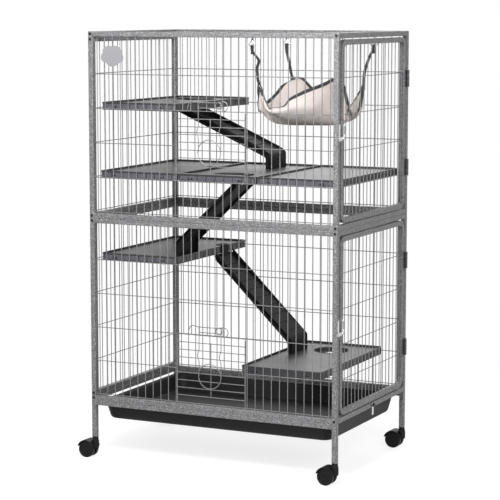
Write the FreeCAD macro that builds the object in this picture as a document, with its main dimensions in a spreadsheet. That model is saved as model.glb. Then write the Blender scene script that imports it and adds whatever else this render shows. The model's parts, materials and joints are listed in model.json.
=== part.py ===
import FreeCAD, Part
import math
import os
import re

from FreeCAD import Placement, Rotation, Vector

# Tall wire cage on casters, with two side doors, two front hatches, shelves, ramps, a tray and a hammock.
# Millimetres. +X runs to the right along the front, +Y to the back, +Z up, origin on the floor.

# Driving dimensions, each a cell of the sheet under its own alias
SIZES = {
    "cage_width": 800,
    "cage_depth": 535,
    "panel_height": 550,
    "base_height": 177,
    "tube_size": 15,
    "wire_size": 2.5,
    "row_first": 20,
    "row_pitch": 101.5,
    "row_end_gap": 2,
    "front_wire_gap": 11.6,
    "side_wire_gap": 13,
    "door_wire_gap": 5,
    "roof_cross_gap": 128,
    "hatch_side_gap": 5,
    "hatch_top_gap": 4,
    "loop_wall": 2,
    "pin_clearance": 0.05,
    "seat_gap": 0.3,
    "leg_top": 153,
    "caster_height": 62,
    "wheel_radius": 25,
    "wheel_width": 14,
    "wheel_spacing": 24,
    "wheel_trail": 24,
    "axle_radius": 3,
    "hub_radius": 9,
    "hood_wall": 3,
    "hood_gap": 1,
    "web_width": 8,
    "web_radius": 12,
    "boss_radius": 11,
    "stem_radius": 5,
    "stem_length": 40,
    "screw_radius": 4,
    "screw_height": 2,
    "door_gap": 3.5,
    "door_front_gap": 10,
    "door_back_gap": 4.5,
    "door_bend": 32,
    "hinge_height": 50,
    "hinge_leaf": 12,
    "leaf_thick": 2,
    "barrel_radius": 4,
    "hinge_pin_radius": 2.5,
    "hinge_pin_over": 2,
    "barrel_stand": 5,
    "hinge_end_gap": 123,
    "latch_height": 45,
    "latch_thick": 1.5,
    "latch_arm": 32,
    "latch_arm_height": 10,
    "stud_radius": 3,
    "stud_head_radius": 5,
    "stud_length": 4.5,
    "stud_head": 2,
    "keeper_stand": 4,
    "shelf_side_gap": 1.5,
    "shelf_end_gap": 17.5,
    "shelf_height": 23,
    "shelf_drop": 5,
    "shelf_wall": 3,
    "shelf_recess": 6,
    "shelf_corner": 22,
    "shelf_gap": 1,
    "high_shelf_gap": 11.7,
    "high_shelf_turn": 1.6,
    "low_left_gap": 3.2,
    "low_right_gap": 48,
    "hole_radius": 52,
    "hole_from_end": 100,
    "hook_inset": 28,
    "hook_drop": 4,
    "ramp_width": 120,
    "ramp_thick": 3,
    "ramp_rim": 13,
    "ramp_foot": 45,
    "ramp_rib_height": 2,
    "ramp_rib_width": 4,
    "lip_width": 40,
    "lip_reach": 20,
    "ramp_top_gap": 0.6,
    "high_foot_offset": 28,
    "middle_foot_inset": 23,
    "low_foot_inset": 46,
    "low_ramp_offset": 78,
    "tray_rim_top": 172,
    "tray_depth": 51,
    "tray_wall": 3,
    "tray_rim": 8,
    "tray_end_gap": 3,
    "tray_side_gap": 1.5,
    "tray_draft": 12,
    "tray_corner": 28,
    "ledge_thick": 2,
    "catch_width": 12,
    "catch_drop": 30,
    "catch_stud_radius": 2.5,
    "catch_knob_radius": 6,
    "catch_knob": 6,
    "badge_width": 76,
    "badge_height": 61,
    "badge_thick": 1.2,
    "badge_from_left": 78,
    "badge_from_top": 72,
    "ring_radius": 37.2,
    "ring_drop": 118,
    "kink_drop": 48,
    "kink_height": 22,
    "kink_out": 5,
    "bar_low": 9.5,
    "bar_high": 25,
    "cloth_thick": 3,
    "cloth_from_middle": 66,
    "cloth_length": 266,
    "cloth_width": 212,
    "cloth_sag": 92,
    "cloth_front_dip": 14,
    "cloth_below_row": 51.5,
    "strap_lean": 14,
    "strap_width": 9.5,
    "strap_thick": 1.5,
    "clip_drop": 31,
    "clip_ring_height": 14,
    "clip_ring_width": 20,
    "clip_neck": 4,
    "clip_mouth": 8,
}

# Counts
ROW_COUNT = 5
FRONT_WIRE_COUNT = 30
SIDE_WIRE_COUNT = 19
DOOR_WIRE_COUNT = 18
ROOF_WIRE_COUNT = 19
ROOF_CROSS_COUNT = 5
HATCH_WIRE_COUNT = 8
HATCH_BAR_COUNT = 8
RAMP_RIB_COUNT = 9
WIRE_SIDES = 6
SMALL_SIDES = 8
BARREL_SIDES = 12
HOOD_SIDES = 16
WHEEL_SIDES = 24
CORNER_STEP_COUNT = 3

doc = FreeCAD.newDocument("RodentCage")
sheet = doc.addObject("Spreadsheet::Sheet", "Sizes")
for row, (name, value) in enumerate(SIZES.items(), 1):
    sheet.set(f"A{row}", name)
    sheet.set(f"B{row}", str(value))
    sheet.setAlias(f"B{row}", name)
doc.recompute()


class Values:
    """The sheet's cells by alias, as plain numbers for places."""

    def __getattr__(self, alias):
        return float(sheet.get(alias))


v = Values()

# Places worked out from the sizes
half_x = v.cage_width / 2
half_y = v.cage_depth / 2
inner_x = half_x - v.tube_size
inner_y = half_y - v.tube_size
post_x = half_x - v.tube_size / 2
post_y = half_y - v.tube_size / 2
lower_z = v.base_height
upper_z = lower_z + v.panel_height
top_z = upper_z + v.panel_height
runner_z = lower_z - v.tube_size
wire_r = v.wire_size / 2
front_pitch = 2 * (inner_x - v.front_wire_gap) / (FRONT_WIRE_COUNT - 1)
hatch_flank = (HATCH_WIRE_COUNT + 1) / 2 * front_pitch
hatch_side = hatch_flank - v.hatch_side_gap
hood_radius = v.wheel_radius + v.hood_gap + v.hood_wall

# The origin is under the middle of the whole: casters reach out to the left, hinges to the right
hood_half = math.sqrt(hood_radius ** 2 - v.hub_radius ** 2)
caster_reach = v.wheel_trail + hood_half - v.tube_size / 2
hinge_reach = v.barrel_stand + v.barrel_radius
mid_x = (caster_reach - hinge_reach) / 2

X, Y, Z = Vector(1, 0, 0), Vector(0, 1, 0), Vector(0, 0, 1)


def at(x, y, z):
    return Vector(mid_x + x, y, z)


def rows(panel_z):
    """Heights of a panel's row wires, lowest first."""
    return [panel_z + v.row_first + k * v.row_pitch for k in range(ROW_COUNT)]


def spaced(count, half, end_gap):
    """Places of evenly spaced wires across an opening, the outer two a gap from its sides."""
    pitch = 2 * (half - end_gap) / (count - 1)
    return [-half + end_gap + pitch * k for k in range(count)]


def bind(thing, **sizes):
    """Tie properties to the sheet: every alias in a formula has an underscore."""
    for prop, formula in sizes.items():
        thing.setExpression(prop, re.sub(r"\b([a-z]+(?:_[a-z]+)+)\b", r"Sizes.\1", formula))


def box(name, length, width, height, corner):
    thing = doc.addObject("Part::Box", name)
    bind(thing, Length=length, Width=width, Height=height)
    thing.Placement = Placement(corner, Rotation())
    return thing


def rod(name, radius, length, start, axis):
    thing = doc.addObject("Part::Cylinder", name)
    bind(thing, Radius=radius, Height=length)
    thing.Placement = Placement(start, Rotation(Z, axis))
    return thing


def wire(name, length, start, axis, flat):
    """A straight six-sided wire, with two of its flats facing the way it is welded."""
    thing = doc.addObject("Part::Prism", name)
    thing.Polygon = WIRE_SIDES
    bind(thing, Circumradius="wire_size / sqrt(3)", Height=length)
    thing.Placement = Placement(start, Rotation(Vector(), flat, axis, "ZYX"))
    return thing


def prism(name, sides, radius, length, start, axis):
    """A many-sided round: its flats touch the circle of the given radius."""
    thing = doc.addObject("Part::Prism", name)
    thing.Polygon = sides
    outward = 1 / math.cos(math.pi / sides)
    bind(thing, Circumradius=f"({radius}) * {outward}", Height=length)
    thing.Placement = Placement(start, Rotation(Z, axis) * Rotation(Z, 180 / sides))
    return thing


def pin(name, radius, length, start, axis):
    """A many-sided pin that turns in a bore: its corners touch the circle of the given radius."""
    thing = doc.addObject("Part::Prism", name)
    thing.Polygon = BARREL_SIDES
    bind(thing, Circumradius=radius, Height=length)
    thing.Placement = Placement(start, Rotation(Z, axis))
    return thing


def cut(name, base, *tools):
    for count, tool in enumerate(tools):
        piece = doc.addObject("Part::Cut", f"{name}_{count}")
        piece.Base = base
        piece.Tool = tool
        base = piece
    return base


def fuse(name, *pieces):
    thing = doc.addObject("Part::MultiFuse", name)
    thing.Shapes = list(pieces)
    return thing


def solid(name, shape):
    thing = doc.addObject("Part::Feature", name)
    thing.Shape = shape
    return thing


def rounded(name, block, axis, radius):
    """Round the edges of a block that run along an axis."""
    doc.recompute([block])
    piece = doc.addObject("Part::Fillet", name)
    piece.Base = block
    along = []
    for number, edge in enumerate(block.Shape.Edges, 1):
        if abs(edge.tangentAt(edge.FirstParameter).dot(axis)) > math.cos(math.radians(1)):
            along.append((number, radius, radius))
    piece.Edges = along
    return piece


def bent(points, side):
    """A bent wire through corner points, six-sided, with its flats square to a side direction."""
    path = Part.makePolygon(points)
    along = (points[1] - points[0]).normalize()
    across = along.cross(side)
    reach = v.wire_size / math.sqrt(3)
    ring = []
    for k in range(WIRE_SIDES + 1):
        turn = 2 * math.pi * k / WIRE_SIDES
        ring.append(points[0] + across * (reach * math.cos(turn)) + side * (reach * math.sin(turn)))
    return path.makePipeShell([Part.makePolygon(ring)], True, False, 1)


nodes = []


def node(label, *pieces):
    """Name a sub-part; several solids share a node as a compound."""
    if len(pieces) == 1:
        thing = pieces[0]
    else:
        thing = doc.addObject("Part::Compound", label)
        thing.Links = list(pieces)
    thing.Label = label
    nodes.append(thing)


# Front and back panels: two posts, two rails, wires, and in front a hatch opening
FRONT_PITCH = f"(cage_width - 2 * tube_size - 2 * front_wire_gap) / ({FRONT_WIRE_COUNT} - 1)"


def wide_panel(label, side, panel_z, post_z, hatch_rows):
    out = -Y if side < 0 else Y
    wire_y = side * post_y
    row_y = wire_y + side * v.wire_size
    tube_y = wire_y - v.tube_size / 2
    post_low = "leg_top" if post_z < panel_z else "base_height + panel_height"
    post_top = "base_height + panel_height" if post_z < panel_z else "base_height + 2 * panel_height"
    rail_long = "cage_width - 2 * tube_size"
    pieces = []
    for x in (-half_x, inner_x):
        corner = at(x, tube_y, post_z)
        pieces.append(box(label + "_post", "tube_size", "tube_size", f"({post_top}) - ({post_low})", corner))
    for z in (panel_z, panel_z + v.panel_height - v.tube_size):
        pieces.append(box(label + "_rail", rail_long, "tube_size", "tube_size", at(-inner_x, tube_y, z)))
    levels = rows(panel_z)
    low = panel_z + v.tube_size
    full = "panel_height - 2 * tube_size"
    for x in spaced(FRONT_WIRE_COUNT, inner_x, v.front_wire_gap):
        if hatch_rows and abs(x) < hatch_flank - wire_r:
            first, last = hatch_rows
            below = f"row_first + {first} * row_pitch + wire_size / 2 - tube_size"
            above = f"panel_height - tube_size - row_first - {last} * row_pitch + wire_size / 2"
            pieces.append(wire(label + "_stub", below, at(x, wire_y, low), Z, out))
            pieces.append(wire(label + "_wire", above, at(x, wire_y, levels[last] - wire_r), Z, out))
        else:
            pieces.append(wire(label + "_wire", full, at(x, wire_y, low), Z, out))
    for count, z in enumerate(levels):
        start = at(-inner_x, row_y, z)
        if hatch_rows and count == hatch_rows[0]:
            pieces.append(rod(label + "_hinge_row", "wire_size / 2", rail_long, start, X))
        elif hatch_rows and hatch_rows[0] < count < hatch_rows[1]:
            flank = f"({HATCH_WIRE_COUNT} + 1) / 2 * {FRONT_PITCH}"
            half_row = f"cage_width / 2 - tube_size - {flank} + wire_size / 2"
            pieces.append(wire(label + "_row", half_row, start, X, out))
            pieces.append(wire(label + "_row", half_row, at(hatch_flank - wire_r, row_y, z), X, out))
        else:
            pieces.append(wire(label + "_row", rail_long, start, X, out))
    node(label, *pieces)


LOWER_HATCH = (0, 2)
UPPER_HATCH = (1, 3)
wide_panel("front_panel_lower", -1, lower_z, v.leg_top, LOWER_HATCH)
wide_panel("front_panel_upper", -1, upper_z, upper_z, UPPER_HATCH)
wide_panel("back_panel_lower", 1, lower_z, v.leg_top, None)
wide_panel("back_panel_upper", 1, upper_z, upper_z, None)


# Left panels stand between the posts with rails of their own
def left_panel(label, low, high, height, panel_z):
    deep = "cage_depth - 2 * tube_size"
    pieces = []
    for z in (low, high - v.tube_size):
        pieces.append(box(label + "_rail", "tube_size", deep, "tube_size", at(-half_x, -inner_y, z)))
    for y in spaced(SIDE_WIRE_COUNT, inner_y, v.side_wire_gap):
        start = at(-post_x, y, low + v.tube_size)
        pieces.append(wire(label + "_wire", f"{height} - 2 * tube_size", start, Z, X))
    for z in rows(panel_z):
        if low + v.tube_size < z < high - v.tube_size:
            start = at(-post_x - v.wire_size, -inner_y + v.row_end_gap, z)
            pieces.append(wire(label + "_row", f"{deep} - 2 * row_end_gap", start, Y, X))
    node(label, *pieces)


left_panel("left_panel_lower", lower_z + v.tube_size, upper_z, "(panel_height - tube_size)", lower_z)
left_panel("left_panel_upper", upper_z, top_z - v.tube_size, "(panel_height - tube_size)", upper_z)

# Rails across the depth, between the posts
WIDE = "cage_width - 2 * tube_size"
DEEP = "cage_depth - 2 * tube_size"
base_rails = []
for x in (-half_x, inner_x):
    base_rails.append(box("base_rail", "tube_size", DEEP, "tube_size", at(x, -inner_y, lower_z)))
node("base_side_rails", *base_rails)
mid_rails = []
for z in (upper_z - v.tube_size, upper_z):
    mid_rails.append(box("mid_rail", "tube_size", DEEP, "tube_size", at(inner_x, -inner_y, z)))
node("right_mid_rails", *mid_rails)

# Roof: two side rails, wires across the width and a few under them along the depth
roof_z = top_z - v.tube_size / 2
roof = []
for x in (-half_x, inner_x):
    roof.append(box("roof_rail", "tube_size", DEEP, "tube_size", at(x, -inner_y, top_z - v.tube_size)))
roof_wire_places = spaced(ROOF_WIRE_COUNT, inner_y, v.side_wire_gap)
for y in roof_wire_places:
    roof.append(wire("roof_wire", WIDE, at(-inner_x, y, roof_z), X, Z))
for x in spaced(ROOF_CROSS_COUNT, inner_x, v.roof_cross_gap):
    start = at(x, -inner_y + v.row_end_gap, roof_z + v.wire_size)
    roof.append(wire("roof_cross_wire", f"{DEEP} - 2 * row_end_gap", start, Y, Z))
node("roof_panel", *roof)

# Tray runners: a tube under each wide panel, with a ledge inside for the tray's rim
tray_rim_bottom = v.tray_rim_top - v.tray_wall
ledge_z = tray_rim_bottom - v.seat_gap - v.ledge_thick
runners = []
for side in (-1, 1):
    tube_y = side * post_y - v.tube_size / 2
    ledge_y = -inner_y if side < 0 else inner_y - v.tray_rim
    runners.append(box("runner", WIDE, "tube_size", "tube_size", at(-inner_x, tube_y, runner_z)))
    runners.append(box("ledge", WIDE, "tray_rim", "ledge_thick", at(-inner_x, ledge_y, ledge_z)))
node("tray_runners", *runners)

# Screws through the posts into the ends of the side rails
left_screws = [
    top_z - v.tube_size / 2,
    top_z - v.tube_size * 3 / 2,
    upper_z + v.tube_size / 2,
    upper_z - v.tube_size / 2,
    lower_z + v.tube_size * 3 / 2,
    lower_z + v.tube_size / 2,
]
right_screws = [z for count, z in enumerate(left_screws) if count not in (1, 4)]
screws = []
for side in (-1, 1):
    for x, levels in ((-post_x, left_screws), (post_x, right_screws)):
        for z in levels:
            start = at(x, side * half_y, z)
            screws.append(prism("screw_head", SMALL_SIDES, "screw_radius", "screw_height", start, Y * side))
node("frame_screws", *screws)


# Legs and twin-wheel casters
def corner_leg(label, x, y):
    tube = box(label + "_tube", "tube_size", "tube_size", "leg_top - caster_height",
               at(x - v.tube_size / 2, y - v.tube_size / 2, v.caster_height))
    bore = prism(label + "_bore", SMALL_SIDES, "stem_radius + pin_clearance", "stem_length + seat_gap",
                 at(x, y, v.caster_height), Z)
    node(label, cut(label, tube, bore))


def caster(label, x, y):
    wheel_x = x - v.wheel_trail
    wheel_z = v.wheel_radius
    hood_width = "wheel_spacing + wheel_width + 2 * hood_wall"
    half_hood = (v.wheel_spacing + v.wheel_width) / 2 + v.hood_wall
    half_web = v.web_width / 2
    drum = prism(label + "_drum", HOOD_SIDES, "wheel_radius + hood_gap + hood_wall", hood_width,
                 at(wheel_x, y - half_hood, wheel_z), Y)
    boss = prism(label + "_boss", BARREL_SIDES, "boss_radius", "caster_height - wheel_radius - seat_gap",
                 at(x, y, wheel_z), Z)
    block = fuse(label + "_block", drum, boss)
    pockets = []
    for start in (y - half_hood - v.hood_wall, y + half_web):
        pockets.append(prism(label + "_pocket", HOOD_SIDES, "wheel_radius + hood_gap",
                             "wheel_spacing / 2 + wheel_width + hood_wall", at(wheel_x, start, wheel_z), Y))
    below = box(label + "_below", "4 * wheel_radius", "4 * wheel_radius", "2 * wheel_radius + hub_radius",
                at(wheel_x - 2 * v.wheel_radius, y - 2 * v.wheel_radius, wheel_z - 2 * v.wheel_radius))
    cover = cut(label + "_cover", block, pockets[0], pockets[1], below)
    web = prism(label + "_web", BARREL_SIDES, "web_radius", "web_width",
                at(wheel_x, y - half_web, wheel_z), Y)
    strut = box(label + "_strut", "wheel_trail", "web_width", "wheel_radius",
                at(wheel_x, y - half_web, wheel_z))
    body = fuse(label + "_body", cover, web, strut)
    axle_bore = prism(label + "_axle_bore", SMALL_SIDES, "axle_radius + pin_clearance", "web_width * 2",
                      at(wheel_x, y - v.web_width, wheel_z), Y)
    node(label + "_hood", cut(label + "_hood", body, axle_bore))
    stem = pin(label + "_stem", "stem_radius", "stem_length + seat_gap",
               at(x, y, v.caster_height - v.seat_gap), Z)
    node(label + "_stem", stem)
    wheels = []
    for side in (-1, 1):
        start = at(wheel_x, y + side * v.wheel_spacing / 2 - v.wheel_width / 2, wheel_z)
        wheels.append(prism(label + "_wheel", WHEEL_SIDES, "wheel_radius", "wheel_width", start, Y))
    wheels.append(pin(label + "_axle", "axle_radius", "wheel_spacing - wheel_width",
                      at(wheel_x, y - (v.wheel_spacing - v.wheel_width) / 2, wheel_z), Y))
    node(label + "_wheels", *wheels)


for end, y in (("front", -post_y), ("back", post_y)):
    for hand, x in (("left", -post_x), ("right", post_x)):
        corner_leg(f"leg_{end}_{hand}", x, y)
        caster(f"caster_{end}_{hand}", x, y)

# Right side doors: a bent tube frame with wires, two hinges at the back and a latch at the front
door_low_y = -inner_y + v.door_front_gap
door_high_y = inner_y - v.door_back_gap
axis_x = half_x + v.barrel_stand
axis_y = (door_high_y + inner_y) / 2
BEND = "(door_bend - tube_size)"
frame_leaves = []
hinge_pins = []


def door(label, low, high, height, panel_z):
    wide = "cage_depth - 2 * tube_size - door_front_gap - door_back_gap"
    tall = f"{height} - 2 * door_gap"
    low = low + v.door_gap
    high = high - v.door_gap
    outer = box(label + "_outer", "tube_size", wide, tall, at(inner_x, door_low_y, low))
    inner = box(label + "_inner", "tube_size", f"{wide} - 2 * tube_size", f"{tall} - 2 * tube_size",
                at(inner_x, door_low_y + v.tube_size, low + v.tube_size))
    ring = cut(label + "_ring", rounded(label + "_outer_bend", outer, X, v.door_bend),
               rounded(label + "_inner_bend", inner, X, v.door_bend - v.tube_size))
    pieces = [ring]
    half = (door_high_y - door_low_y) / 2 - v.tube_size
    centre = (door_high_y + door_low_y) / 2
    bend = v.door_bend - v.tube_size
    for y in spaced(DOOR_WIRE_COUNT, half, v.door_wire_gap):
        from_side = half - abs(y) - wire_r
        if from_side < bend:
            seat_z = low + v.tube_size + bend - math.sqrt(bend ** 2 - (bend - from_side) ** 2)
            from_bend = f"({BEND} - door_wire_gap + wire_size / 2)"
            long = f"{tall} - 2 * door_bend + 2 * sqrt({BEND} ^ 2 - {from_bend} ^ 2)"
        else:
            seat_z = low + v.tube_size
            long = f"{tall} - 2 * tube_size"
        pieces.append(wire(label + "_wire", long, at(post_x, centre + y, seat_z), Z, X))
    for z in rows(panel_z):
        if low + v.door_bend < z < high - v.door_bend:
            start = at(post_x + v.wire_size, door_low_y + v.tube_size, z)
            pieces.append(wire(label + "_row", f"{wide} - 2 * tube_size", start, Y, X))
    node(label, *pieces)
    leaves = []
    for z in (low + v.hinge_end_gap, high - v.hinge_end_gap):
        leaves.append(hinge(label, z - v.hinge_height / 2))
    node(label + "_hinge_leaves", *leaves)


def knuckle(name, share, z):
    """A third of a hinge barrel, with its bore still to cut."""
    long = f"hinge_height * {share}"
    start = at(axis_x, axis_y, z)
    barrel = prism(name + "_barrel", BARREL_SIDES, "barrel_radius", long, start, Z)
    bore = prism(name + "_bore", SMALL_SIDES, "hinge_pin_radius + pin_clearance", long, start, Z)
    return barrel, bore


END_SHARE = 0.3
MIDDLE_SHARE = 0.38


def hinge(label, z):
    """The frame's leaf and the pin are kept for their own nodes; the door's leaf is returned."""
    leaf_gap = v.barrel_radius
    end = v.hinge_height * END_SHARE
    middle_z = z + v.hinge_height * (1 - MIDDLE_SHARE) / 2
    plate = box(label + "_frame_plate", "leaf_thick", "hinge_leaf", "hinge_height",
                at(half_x, axis_y + leaf_gap, z))
    low_barrel, low_bore = knuckle(label + "_low", END_SHARE, z)
    top_barrel, top_bore = knuckle(label + "_top", END_SHARE, z + v.hinge_height - end)
    webs = []
    for start in (z, z + v.hinge_height - end):
        webs.append(box(label + "_web", "leaf_thick", "barrel_radius", f"hinge_height * {END_SHARE}",
                        at(half_x, axis_y, start)))
    whole = fuse(label + "_frame_leaf", plate, low_barrel, top_barrel, *webs)
    frame_leaves.append(cut(label + "_frame_leaf_bored", whole, low_bore, top_bore))
    hinge_pins.append(pin(label + "_pin", "hinge_pin_radius", "hinge_height + 2 * hinge_pin_over",
                          at(axis_x, axis_y, z - v.hinge_pin_over), Z))
    door_plate = box(label + "_door_plate", "leaf_thick", "hinge_leaf", "hinge_height",
                     at(half_x, axis_y - leaf_gap - v.hinge_leaf, z))
    door_web = box(label + "_door_web", "leaf_thick", "barrel_radius", f"hinge_height * {MIDDLE_SHARE}",
                   at(half_x, axis_y - leaf_gap, middle_z))
    barrel, bore = knuckle(label + "_middle", MIDDLE_SHARE, middle_z)
    door_whole = fuse(label + "_door_leaf", door_plate, door_web, barrel)
    return cut(label + "_door_leaf_bored", door_whole, bore)


door("lower_door", lower_z + v.tube_size, upper_z - v.tube_size, "(panel_height - 2 * tube_size)", lower_z)
door("upper_door", upper_z + v.tube_size, top_z - v.tube_size, "(panel_height - 2 * tube_size)", upper_z)
node("frame_hinge_leaves", *frame_leaves)
node("hinge_pins", *hinge_pins)

# Door latches: a base with a stud on the stile, a lever that turns on it, and a keeper on the post
keepers = []


def door_latch(label, middle_z):
    stile_y = door_low_y + v.tube_size / 2
    half = v.latch_arm_height / 2
    z = middle_z - v.latch_height / 2 + half
    base_plate = box(label + "_base_plate", "latch_thick", "tube_size - 2 * leaf_thick", "latch_height",
                     at(half_x, door_low_y + v.leaf_thick, z - half))
    stud = pin(label + "_stud", "stud_radius", "stud_length", at(half_x, stile_y, z), X)
    head = prism(label + "_head", SMALL_SIDES, "stud_head_radius", "stud_head",
                 at(half_x + v.stud_length, stile_y, z), X)
    node(label + "_base", fuse(label + "_base", base_plate, stud, head))
    lever_x = half_x + v.latch_thick + v.seat_gap
    grip = box(label + "_grip", "latch_thick", "latch_arm_height", "latch_height",
               at(lever_x, stile_y - v.latch_arm_height / 2, z - half))
    arm = box(label + "_arm", "latch_thick", "latch_arm", "latch_arm_height",
              at(lever_x, stile_y - v.latch_arm, z - v.latch_arm_height / 2))
    bore = prism(label + "_lever_bore", SMALL_SIDES, "stud_radius + pin_clearance", "latch_thick",
                 at(lever_x, stile_y, z), X)
    node(label, cut(label, fuse(label + "_blank", grip, arm), bore))
    keeper_y = -post_y - v.latch_arm_height / 2
    plate = box(label + "_keeper_plate", "latch_thick", "latch_arm_height", "latch_height",
                at(half_x, keeper_y, z - half))
    rest = box(label + "_keeper_rest", "keeper_stand", "latch_arm_height", "latch_thick",
               at(half_x, keeper_y, z - v.latch_arm_height / 2 - v.latch_thick - v.seat_gap))
    keepers.append(fuse(label + "_keeper", plate, rest))


door_latch("lower_door_latch", lower_z + v.panel_height / 2)
door_latch("upper_door_latch", upper_z + v.panel_height / 2)
node("latch_keepers", *keepers)


# Front hatches drop down about a row wire that their loops hold
def hatch(label, panel_z, hatch_rows):
    levels = rows(panel_z)
    hinge_z, top = levels[hatch_rows[0]], levels[hatch_rows[1]]
    span = hatch_rows[1] - hatch_rows[0]
    row_y = -post_y - v.wire_size
    bar_y = row_y - v.wire_size
    loop = "wire_size / 2 + pin_clearance + loop_wall"
    pieces = []
    for x in (-hatch_side, hatch_side):
        side_start = hinge_z + wire_r + v.loop_wall / 2
        side_long = f"{span} * row_pitch - wire_size / 2 - loop_wall / 2 - hatch_top_gap"
        upright = wire(label + "_side", side_long, at(x, row_y, side_start), Z, Y)
        start = at(x - wire_r, row_y, hinge_z)
        collar = prism(label + "_loop", SMALL_SIDES, loop, "wire_size", start, X)
        hole = prism(label + "_loop_bore", SMALL_SIDES, "wire_size / 2 + pin_clearance", "wire_size",
                     start, X)
        pieces.append(cut(label + "_side_bored", fuse(label + "_side_loop", upright, collar), hole))
    pitch = (top - hinge_z) / (HATCH_BAR_COUNT + 1)
    flank = f"({HATCH_WIRE_COUNT} + 1) * {FRONT_PITCH}"
    for k in range(HATCH_BAR_COUNT):
        start = at(-hatch_side - wire_r, bar_y, hinge_z + pitch * (k + 1))
        pieces.append(wire(label + "_bar", f"{flank} - 2 * hatch_side_gap + wire_size", start, X, Y))
    middle_long = f"{span} * row_pitch * ({HATCH_BAR_COUNT} - 1) / ({HATCH_BAR_COUNT} + 1) + wire_size"
    pieces.append(wire(label + "_middle", middle_long, at(0, row_y, hinge_z + pitch - wire_r), Z, Y))
    node(label, *pieces)
    hatch_latch(label + "_latch", top, bar_y - v.wire_size - v.seat_gap)


# Bent-wire hatch latch, in shares of the finger ring's radius
LEG_SHARE = 0.96
KINK_SHARES = ((0, 0), (0.5, 1), (1, 0))
LEFT_EAR_SHARES = ((-1.96, 0.06), (-1.62, 0.78), (-1.2, 0.68))
RIGHT_EAR_SHARES = ((1.1, 0.78), (1.58, 0.45), (1.28, 0.03))
RING_STEP_COUNT = 20
ARC_STEP_COUNT = 12


def hatch_latch(label, top, pull_y):
    """A finger ring on two kinked legs, with cross wires behind and ears at the row wire."""
    cross_y = pull_y + v.wire_size
    reach = v.ring_radius
    ring_z = top - v.ring_drop
    leg_x = reach * LEG_SHARE
    start_turn = math.acos(LEG_SHARE)
    kinks = []
    for down_share, left_share in KINK_SHARES:
        kinks.append((v.kink_out * left_share, top - v.kink_drop - v.kink_height * down_share))
    points = [at(-leg_x, pull_y, top + v.bar_high)]
    for left, z in kinks:
        points.append(at(-leg_x - left, pull_y, z))
    for k in range(RING_STEP_COUNT + 1):
        turn = math.pi - start_turn + (math.pi + 2 * start_turn) * k / RING_STEP_COUNT
        points.append(at(reach * math.cos(turn), pull_y, ring_z + reach * math.sin(turn)))
    for left, z in reversed(kinks):
        points.append(at(leg_x - left, pull_y, z))
    points.append(at(leg_x, pull_y, top + v.bar_high))
    for share_x, share_z in RIGHT_EAR_SHARES:
        points.append(at(reach * share_x, pull_y, top + reach * share_z))
    pull = solid(label + "_pull", bent(points, Y))
    points = [at(reach * share_x, cross_y, top + reach * share_z) for share_x, share_z in LEFT_EAR_SHARES]
    points.append(at(leg_x + wire_r, cross_y, top + v.bar_high))
    high = solid(label + "_high", bent(points, Y))
    low = wire(label + "_low", f"2 * {LEG_SHARE} * ring_radius + wire_size",
               at(-leg_x - wire_r, cross_y, top + v.bar_low), X, Y)
    points = []
    for k in range(ARC_STEP_COUNT + 1):
        turn = start_turn + (math.pi - 2 * start_turn) * k / ARC_STEP_COUNT
        points.append(at(reach * math.cos(turn), pull_y - v.wire_size, ring_z + reach * math.sin(turn)))
    arc = solid(label + "_arc", bent(points, Y))
    node(label, pull, high, low, arc)


hatch("lower_hatch", lower_z, LOWER_HATCH)
hatch("upper_hatch", upper_z, UPPER_HATCH)


def rounded_ring(half_long, half_wide, radius, x, z):
    """A flat outline with rounded corners, each in a few straight steps."""
    points = []
    for quarter, (way_x, way_y) in enumerate(((1, 1), (-1, 1), (-1, -1), (1, -1))):
        for step in range(CORNER_STEP_COUNT + 1):
            turn = math.pi / 2 * (quarter + step / CORNER_STEP_COUNT)
            centre_x = x + way_x * (half_long - radius)
            centre_y = way_y * (half_wide - radius)
            points.append(at(centre_x + radius * math.cos(turn), centre_y + radius * math.sin(turn), z))
    return Part.makePolygon(points + points[:1])


def slab(half_long, half_wide, radius, x, z, thick):
    return Part.Face(rounded_ring(half_long, half_wide, radius, x, z)).extrude(Z * thick)


# Shelves: a moulded deck in a rim, some with a round hole, hung on hooks from the row wires
shelf_width = (2 * inner_x - 2 * v.shelf_side_gap - 2 * v.shelf_gap) / 3
shelf_depth = 2 * inner_y - 2 * v.shelf_end_gap


def shelf(label, x, row_z, hole_side, turn):
    half_w, half_d = shelf_width / 2, shelf_depth / 2
    wall = v.shelf_wall
    z = row_z - v.shelf_drop
    inner = (half_w - wall, half_d - wall, v.shelf_corner - wall, x)
    deck_z = z + v.shelf_height - v.shelf_recess
    shape = slab(half_w, half_d, v.shelf_corner, x, z, v.shelf_height)
    shape = shape.cut([slab(*inner, deck_z, v.shelf_recess), slab(*inner, z, deck_z - wall - z)])
    if hole_side:
        hole_y = hole_side * (half_d - v.hole_from_end)
        shape = shape.cut(Part.makeCylinder(v.hole_radius, v.shelf_height, at(x, hole_y, z)))
    shape.rotate(at(x, 0, z), Z, -turn)
    node(label, solid(label, shape))
    for side in (-1, 1):
        for hand in (-1, 1):
            hook_x = round((x + hand * (half_w - v.hook_inset)) / front_pitch) * front_pitch
            angle = math.radians(turn)
            end_y = side * half_d / math.cos(angle) - (hook_x - x) * math.tan(angle)
            hooks.append(shelf_hook(hook_x, side, end_y, row_z))


def shelf_hook(x, side, end_y, row_z):
    """From the shelf's end over the row wire and down in front of it."""
    row_y = post_y + v.wire_size
    over = row_z + v.wire_size + v.seat_gap
    front = row_y + v.wire_size + v.seat_gap
    points = [
        at(x, end_y, over),
        at(x, side * front, over),
        at(x, side * front, row_z - v.hook_drop),
    ]
    return solid("hook", bent(points, X))


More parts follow.
